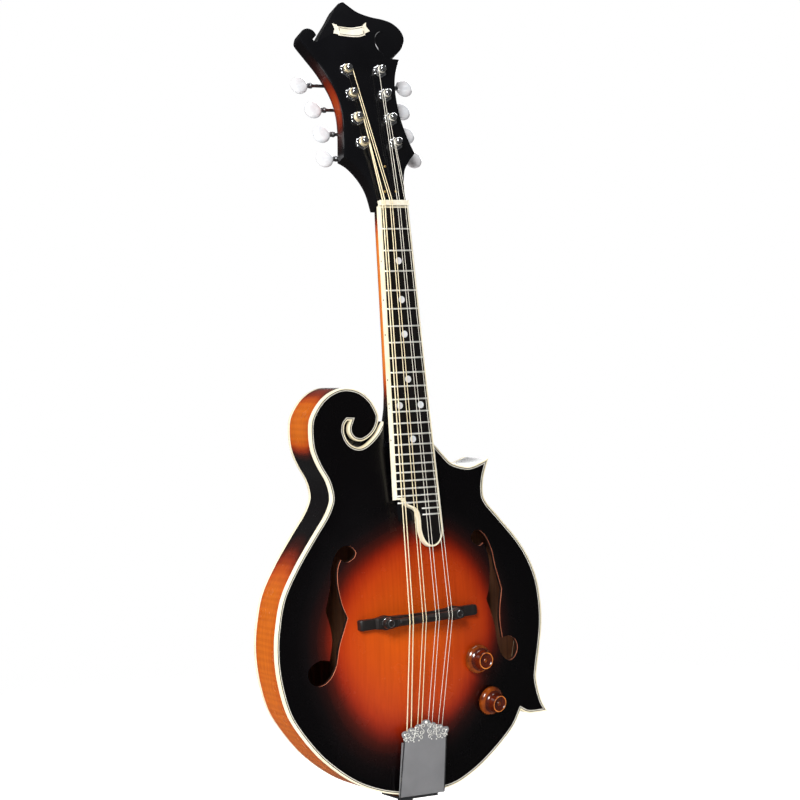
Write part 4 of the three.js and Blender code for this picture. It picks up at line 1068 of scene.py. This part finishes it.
def bridge(top_at):
    crest = top_at(0, 0)
    deck = crest - BRIDGE["base"]
    half = BRIDGE["length"] / 2
    edge = 0.9

    def base_section(x):
        far = abs(x)
        wide = BRIDGE["width"] / 2 + 1.6 * math.exp(-(((far - BRIDGE["post"]) / 4.6) ** 2))
        wide -= 0.9 * smoothstep(far, half - 1.2, half)
        front = deck + 2.4 * smoothstep(far, 41.2, 43) + 0.8 * smoothstep(far, half - 3, half)
        cut = 3.4 * smoothstep(18 - far, 0, 3)
        under = []
        for z in np.linspace(-wide, wide, 5):
            place = apply(BRIDGE_FRAME, (x, 0, z))[0]
            under.append((top_at(place[0], place[2]) - 0.05 - cut, z))
        return [(front + edge, -wide), *under, (front + edge, wide), (front + 0.26, wide - 0.26),
                (front, wide - edge), (front, edge - wide), (front + 0.26, 0.26 - wide)]

    stations = np.unique(np.concatenate([np.linspace(-half, half, 115), [-half + 0.3, half - 0.3]]))
    piece("bridge_foot", along_bridge(stations, base_section), ebony, BRIDGE_FRAME,
          replaces=["bridge_base"], sharp=40)

    wheel_front = deck - GAP - WHEEL["height"]
    foot = wheel_front - GAP
    shoulder = SADDLE_TOP + 1.6
    end = BRIDGE["saddle"] / 2

    def saddle_section(x):
        far = abs(x)
        boss = math.exp(-(((far - BRIDGE["post"]) / 3.6) ** 2))
        wide = 3.2 + 1.1 * boss - 2.0 * smoothstep(far, end - 2, end)
        ridge = 1 - smoothstep(far, BRIDGE["ridge"] - 0.6, BRIDGE["ridge"] + 0.6)
        peak = shoulder - 1.6 * ridge
        step = 0.7 * math.copysign(1, math.sin((x - 1) * math.pi / COURSE_STEP["bridge"])) * ridge
        arch = 1.2 * smoothstep(24 - far, 0, 12)
        crown = 0.5 + (wide - 1.3) * (1 - ridge)
        return [(foot - arch, -wide), (foot - arch, wide), (shoulder + 0.6, wide),
                (shoulder + 0.1, wide - 0.4), (peak, step + crown), (peak, step - crown),
                (shoulder + 0.1, 0.4 - wide), (shoulder + 0.6, -wide)]

    saddle = along_bridge(np.linspace(-end, end, 157), saddle_section)
    piece("saddle", saddle, ebony, BRIDGE_FRAME, "bridge_saddle", replaces=["bridge_saddle"],
          sharp=40)

    r, back = WHEEL["radius"], deck - GAP
    section = [(2.2, wheel_front), (r - 0.8, wheel_front), (r - 0.15, wheel_front + 0.45),
               (r - 0.15, back - 0.45), (r - 0.8, back), (2.2, back)]
    wheel = turned(section, 144, closed=True, lobes=36, wave=0.14, beyond=r - 0.5)
    ring = [(2.4, -0.5), (3.0, -0.55), (3.2, -0.3), (3.2, 0.2), (2.4, 0.2)]
    collar = turned([(wide, shoulder + above) for wide, above in ring], 40, closed=True)
    for name, side in SIDES:
        place = BRIDGE_FRAME @ shift(side * BRIDGE["post"], 0, 0)
        node = f"{name}_thumbwheel"
        piece(f"{name}_wheel", wheel, chrome, place, node, replaces=[node])
        piece(f"{name}_saddle_ring", collar, chrome, place, "bridge_saddle")


# ---- the tailpiece ----
def tail_outline():
    """The cover's plan: a long plate under a crest of round lobes that climb to the middle."""
    half, top = TAIL["width"] / 2, TAIL["length"]
    right = [
        [(half - 0.6, top - 1.4), (half + 1, top + 0.4), (half + 1.7, top + 2.8), (half + 0.3, top + 5.2),
         (half - 2.4, top + 5.4), (half - 3.6, top + 4.6)],
        [(half - 3.6, top + 4.6), (half - 5, top + 7.2), (half - 8, top + 8), (half - 10, top + 6.8)],
        [(half - 10, top + 6.8), (9.4, top + 9.6), (6.8, top + 10.4), (4.9, top + 9.4)],
        [(4.9, top + 9.4), (3.6, top + 12.4), (0, top + 13.6)],
    ]
    left = [[(-x, z) for x, z in stretch[::-1]] for stretch in right[::-1]]
    return outline([[(-half - 0.8, -1), (half + 0.8, -1)], [(half + 0.8, -1), (half - 0.6, top - 1.4)],
                    *right, *left, [(-half + 0.6, top - 1.4), (-half - 0.8, -1)]], 1.0)


def spiral(x, z, radius, start, turns):
    """A flat curl that winds in to its middle."""
    count = int(14 * turns) + 6
    t = np.linspace(0, 1, count)
    angle = start + turns * 2 * math.pi * t
    reach = radius * (1 - 0.86 * t)
    return np.stack([x + reach * np.cos(angle), np.full(count, -0.1), z + reach * np.sin(angle)], 1), t


def bead(x, z, radius, height, sides):
    """A low dome on the cover's face."""
    dome = [(radius * math.sin(a) + 0.02, -height * math.cos(a)) for a in np.linspace(0.1, 1.6, 6)]
    return placed(shift(x, 0, z), turned(dome, sides))


def filigree():
    """Raised scrollwork and beads on the cover's crest, the same on both sides."""
    top = TAIL["length"]
    curls = [(17.4, 2.0, 3.0, 3.6, 1.3), (19.4, -2.2, 1.8, 1.0, 1.1), (12.4, 3.6, 2.7, 0.4, 1.3),
             (13.6, -1.6, 2.4, 2.6, 1.2), (8.2, 6.6, 2.6, 4.2, 1.3), (8.6, 1.0, 2.5, 5.4, 1.2),
             (4.0, 3.2, 2.5, 2.0, 1.3), (4.4, -1.6, 2.2, 0.2, 1.2), (2.8, 8.4, 2.4, 5.0, 1.3)]
    beads = [(20.6, 2.6, 0.8), (15, 6, 0.7), (10.6, 8, 0.6), (16.4, -4, 0.6), (6.2, -4, 0.6),
             (11, -4.6, 0.6), (6, 9, 0.6), (21, -1.6, 0.6)]
    parts = []
    for side in (-1, 1):
        for x, z, radius, start, turns in curls:
            path, t = spiral(x, top + z, radius, start, turns)
            path[:, 0] *= side
            parts.append(tube(path, 0.44 - 0.24 * t, 8))
        parts += [bead(side * x, top + z, radius, radius, 14) for x, z, radius in beads]
    return merged(*parts, bead(0, top + 11.4, 1.5, 1.3, 20))


def tailpiece():
    back = TAIL["sheet"]
    half, top = TAIL["width"] / 2, TAIL["length"]
    plate = moulded(tail_outline(), [(0.2, back), (0, back - 0.2), (0, 0.3), (0.12, 0.09), (0.4, 0)])
    flanges = [box((min(side * (half - 2.2), side * (half - 1)), 0.6, -1),
                   (max(side * (half - 2.2), side * (half - 1)), 5, top - 6)) for _, side in SIDES]
    end = box((1 - half, 0.6, -1), (half - 1, 3.8, 0.4))
    lines = [straight((side * (half + 0.35), 0.25, -0.6), (side * (half - 0.9), 0.25, top - 3), 20)
             for _, side in SIDES]
    cover = "tailpiece_cover"
    piece("cover_plate", merged(plate, *flanges, end), nickel_plate, TAIL_FRAME, cover, replaces=[cover],
          sharp=30)
    piece("cover_edges", merged(*(tube(line, 0.6, 10) for line in lines)), chrome, TAIL_FRAME, cover)
    # the filigree is the cover's own metal, painted near white as a glint
    piece("cover_filigree", filigree(), fret_and_glint_metal, TAIL_FRAME, cover)


def end_pin():
    """The strap button at the tail, bored as the output jack."""
    y, radius, flange, bore = (JACK[key] for key in ("y", "radius", "flange", "bore"))
    profile = [(0.4, -128), (bore, -128), (bore, -168.2), (bore + 0.4, -168.6), (flange - 1.4, -168.6),
               (flange - 0.7, -168.2), (flange - 0.6, -167.4), (flange - 0.9, -166.6), (radius + 1.2, -165.4),
               (radius + 0.6, -164), (radius + 0.6, -160), (radius + 1.2, -158.4), (flange - 0.3, -157.1),
               (flange, -156.6), (flange, -155.3), (radius, -155.3), (radius, -118), (0.4, -118)]
    piece("strap_button_jack", turned(profile, 56), chrome, shift(0, y, 0) @ turn_x(math.pi / 2),
          replaces=["end_pin_jack"], sharp=40)


# ---- the knobs ----
def knobs():
    """Amber bell knobs: a wide skirt under a tall cap with a rim round its top. The rim is a painted
    highlight, and the recess and the cap's side painted shade.
    """
    base, height, cap, skirt, shaft = (KNOB[key] for key in ("base", "height", "cap", "skirt", "shaft"))
    top = base - height
    boss = [(0.3, top + 0.2), (1.1, top + 0.35), (1.7, top + 0.9)]
    recess = [(2.0, top + 1.3), (cap - 2.2, top + 1.3), (cap - 1.6, top + 0.9), (cap - 1.2, top + 0.3)]
    lip = [(cap - 1.0, top + 0.05), (cap - 0.8, top)]
    side = [(cap - 0.3, top + 0.1), (cap, top + 0.6), (cap + 0.05, top + 2), (cap + 0.2, base - 9),
            (cap + 0.6, base - 7.4), (cap + 1.3, base - 6.2)]
    flare = [(cap + 2.5, base - 5.2), (skirt - 1.3, base - 4.3), (skirt - 0.5, base - 3.4),
             (skirt - 0.1, base - 2.4), (skirt, base - 0.5), (skirt - 0.3, base), (shaft, base), (shaft, 12),
             (0.4, 12)]
    # stage kinds: 0 plain amber, 1 painted shade, 2 painted highlight
    stages = ((boss, 0), (recess, 1), (lip, 2), (side, 1), (flare, 0))
    profile = [point for stage, _ in stages for point in stage]
    kinds = [kind for stage, kind in stages for _ in stage][:-1]
    sides = 72
    part = turned(profile, sides)
    slots = np.concatenate([np.repeat(kinds, sides), np.zeros(len(part[1]) - len(kinds) * sides, int)])
    for name in KNOB_NAMES:
        node = f"{name}_knob"
        piece(f"{name}_bell", part, [amber, shaded_amber, highlit_amber], knob_frame(name), node, slots=slots,
              replaces=[node], sharp=45)


# ---- what stays as the frame has it ----
def keep(name, material, rounding=0.0):
    """Gives a node its material, and rounds its hard edges by so many millimetres."""
    node = frame["nodes"][name]
    for slot in node.material_slots:
        slot.material = material
    if rounding:
        bevel = node.modifiers.new("rounded", "BEVEL")
        bevel.width = rounding / 1000
        bevel.segments = 2
        bevel.limit_method = "ANGLE"
        bevel.angle_limit = math.radians(30)
        bevel.harden_normals = False


def kept_nodes():
    for name in ("head_block", "tail_block", "bass_top_lining", "treble_top_lining", "bass_tone_bar",
                 "treble_tone_bar"):
        keep(name, bare_wood)
    keep("fretboard_support", lacquer)
    keep("nut", bone, 0.18)
    keep("truss_rod", plain_steel)
    keep("contact_pickup", brass)
    keep("tailpiece_base", nickel, 0.25)
    for name, _ in SIDES:
        keep(f"{name}_tuner_plate", nickel, 0.2)
        keep(f"{name}_bridge_post", nickel, 0.15)
    for name in KNOB_NAMES:
        keep(f"{name}_pot", dark_metal, 0.3)


# ---- the studio ----
def studio_floor():
    """A pale disc that fades out at its edge, so that no horizon shows."""
    look = Look("studio_floor", Roughness=0.6, Emission_Color=(1, 1, 1, 1), Emission_Strength=0.35)
    speckle = look.noise((30, 30, 30), 3.0)
    look.set(Base_Color=look.ramp(speckle, [(0.3, (246, 246, 246)), (0.7, (252, 252, 252))]))
    out = look.tree.nodes["Material Output"]
    clear = look.node("BsdfTransparent")
    mixed = look.node("MixShader", {0: look.value("fade"), 1: look.shader.outputs[0], 2: clear.outputs[0]})
    look.feed(mixed.outputs[0], out.inputs["Surface"])
    radii, sides = np.linspace(0.02, 1.3, 30), 72
    angles = around(sides)
    points = [(r * math.cos(a), r * math.sin(a) + 0.02, FLOOR) for r in radii for a in angles]
    faces = loft(np.array(points).reshape(len(radii), sides, 3), caps=False)[1]
    mesh = bpy.data.meshes.new("studio_floor")
    mesh.from_pydata(points, [], [f[::-1] for f in faces] + [tuple(range(sides))])
    fade = smoothstep(np.repeat(radii, sides), 0.12, 0.9)
    mesh.attributes.new("fade", "FLOAT", "POINT").data.foreach_set("value", fade.astype(np.float32))
    mesh.materials.append(look.material)
    floor = bpy.data.objects.new("studio_floor", mesh)
    floor.visible_glossy = False
    bpy.context.scene.collection.objects.link(floor)


def area_light(name, place, target, size, power, glossy=True):
    data = bpy.data.lights.new(name, "AREA")
    data.shape = "DISK"
    data.size = size
    data.energy = power
    light = bpy.data.objects.new(name, data)
    light.location = place
    light.visible_camera = False
    light.visible_glossy = glossy
    light.rotation_euler = (Vector(target) - Vector(place)).to_track_quat("-Z", "Y").to_euler()
    bpy.context.scene.collection.objects.link(light)


def lights():
    middle = (0, 0, -0.3)
    area_light("key", (-1.75, -2.0, 1.2), middle, 1.3, 112)
    area_light("left_fill", (-2.4, -0.4, -0.1), middle, 1.6, 29, glossy=False)
    area_light("overhead", (0, 0.3, 2.3), middle, 1.8, 40)
    area_light("back_light", (1.6, 1.8, 1.0), middle, 1.6, 55)
    area_light("back_fill", (-0.8, 2.4, 0.2), middle, 1.4, 30, glossy=False)
    world = bpy.data.worlds.new("studio")
    world.use_nodes = True
    tree = world.node_tree
    background = tree.nodes["Background"]
    background.inputs["Color"].default_value = (1, 1, 1, 1)
    background.inputs["Strength"].default_value = 0.08
    white = tree.nodes.new("ShaderNodeBackground")
    path = tree.nodes.new("ShaderNodeLightPath")
    mix = tree.nodes.new("ShaderNodeMixShader")
    tree.links.new(path.outputs["Is Camera Ray"], mix.inputs[0])
    tree.links.new(background.outputs[0], mix.inputs[1])
    tree.links.new(white.outputs[0], mix.inputs[2])
    white.inputs["Color"].default_value = (1, 1, 1, 1)
    tree.links.new(mix.outputs[0], tree.nodes["World Output"].inputs["Surface"])
    bpy.context.scene.world = world
    bpy.context.scene.view_settings.view_transform = "Standard"


def camera():
    """Level with the neck's middle, to the left of the instrument, with a long lens."""
    yaw, pitch, roll = map(math.radians, CAMERA_TURN)
    ahead = Vector((math.sin(yaw) * math.cos(pitch), math.cos(yaw) * math.cos(pitch), math.sin(pitch)))
    level = Vector((math.cos(yaw), -math.sin(yaw), 0))
    above = level.cross(ahead)
    right = math.cos(roll) * level + math.sin(roll) * above
    up = math.cos(roll) * above - math.sin(roll) * level
    data = bpy.data.cameras.new("camera")
    data.lens = LENS
    data.sensor_width = SENSOR
    view = bpy.data.objects.new("camera", data)
    bpy.context.scene.collection.objects.link(view)
    view.matrix_world = Matrix.Translation(CAMERA_PLACE) @ Matrix(
        (right, up, -ahead)).transposed().to_4x4()
    bpy.context.scene.camera = view


camera()
lights()
studio_floor()
top_at = soundboard()
back()
bindings()
rim()
neck()
fretboard()
tuners()
strings()
bridge(top_at)
tailpiece()
end_pin()
knobs()
kept_nodes()
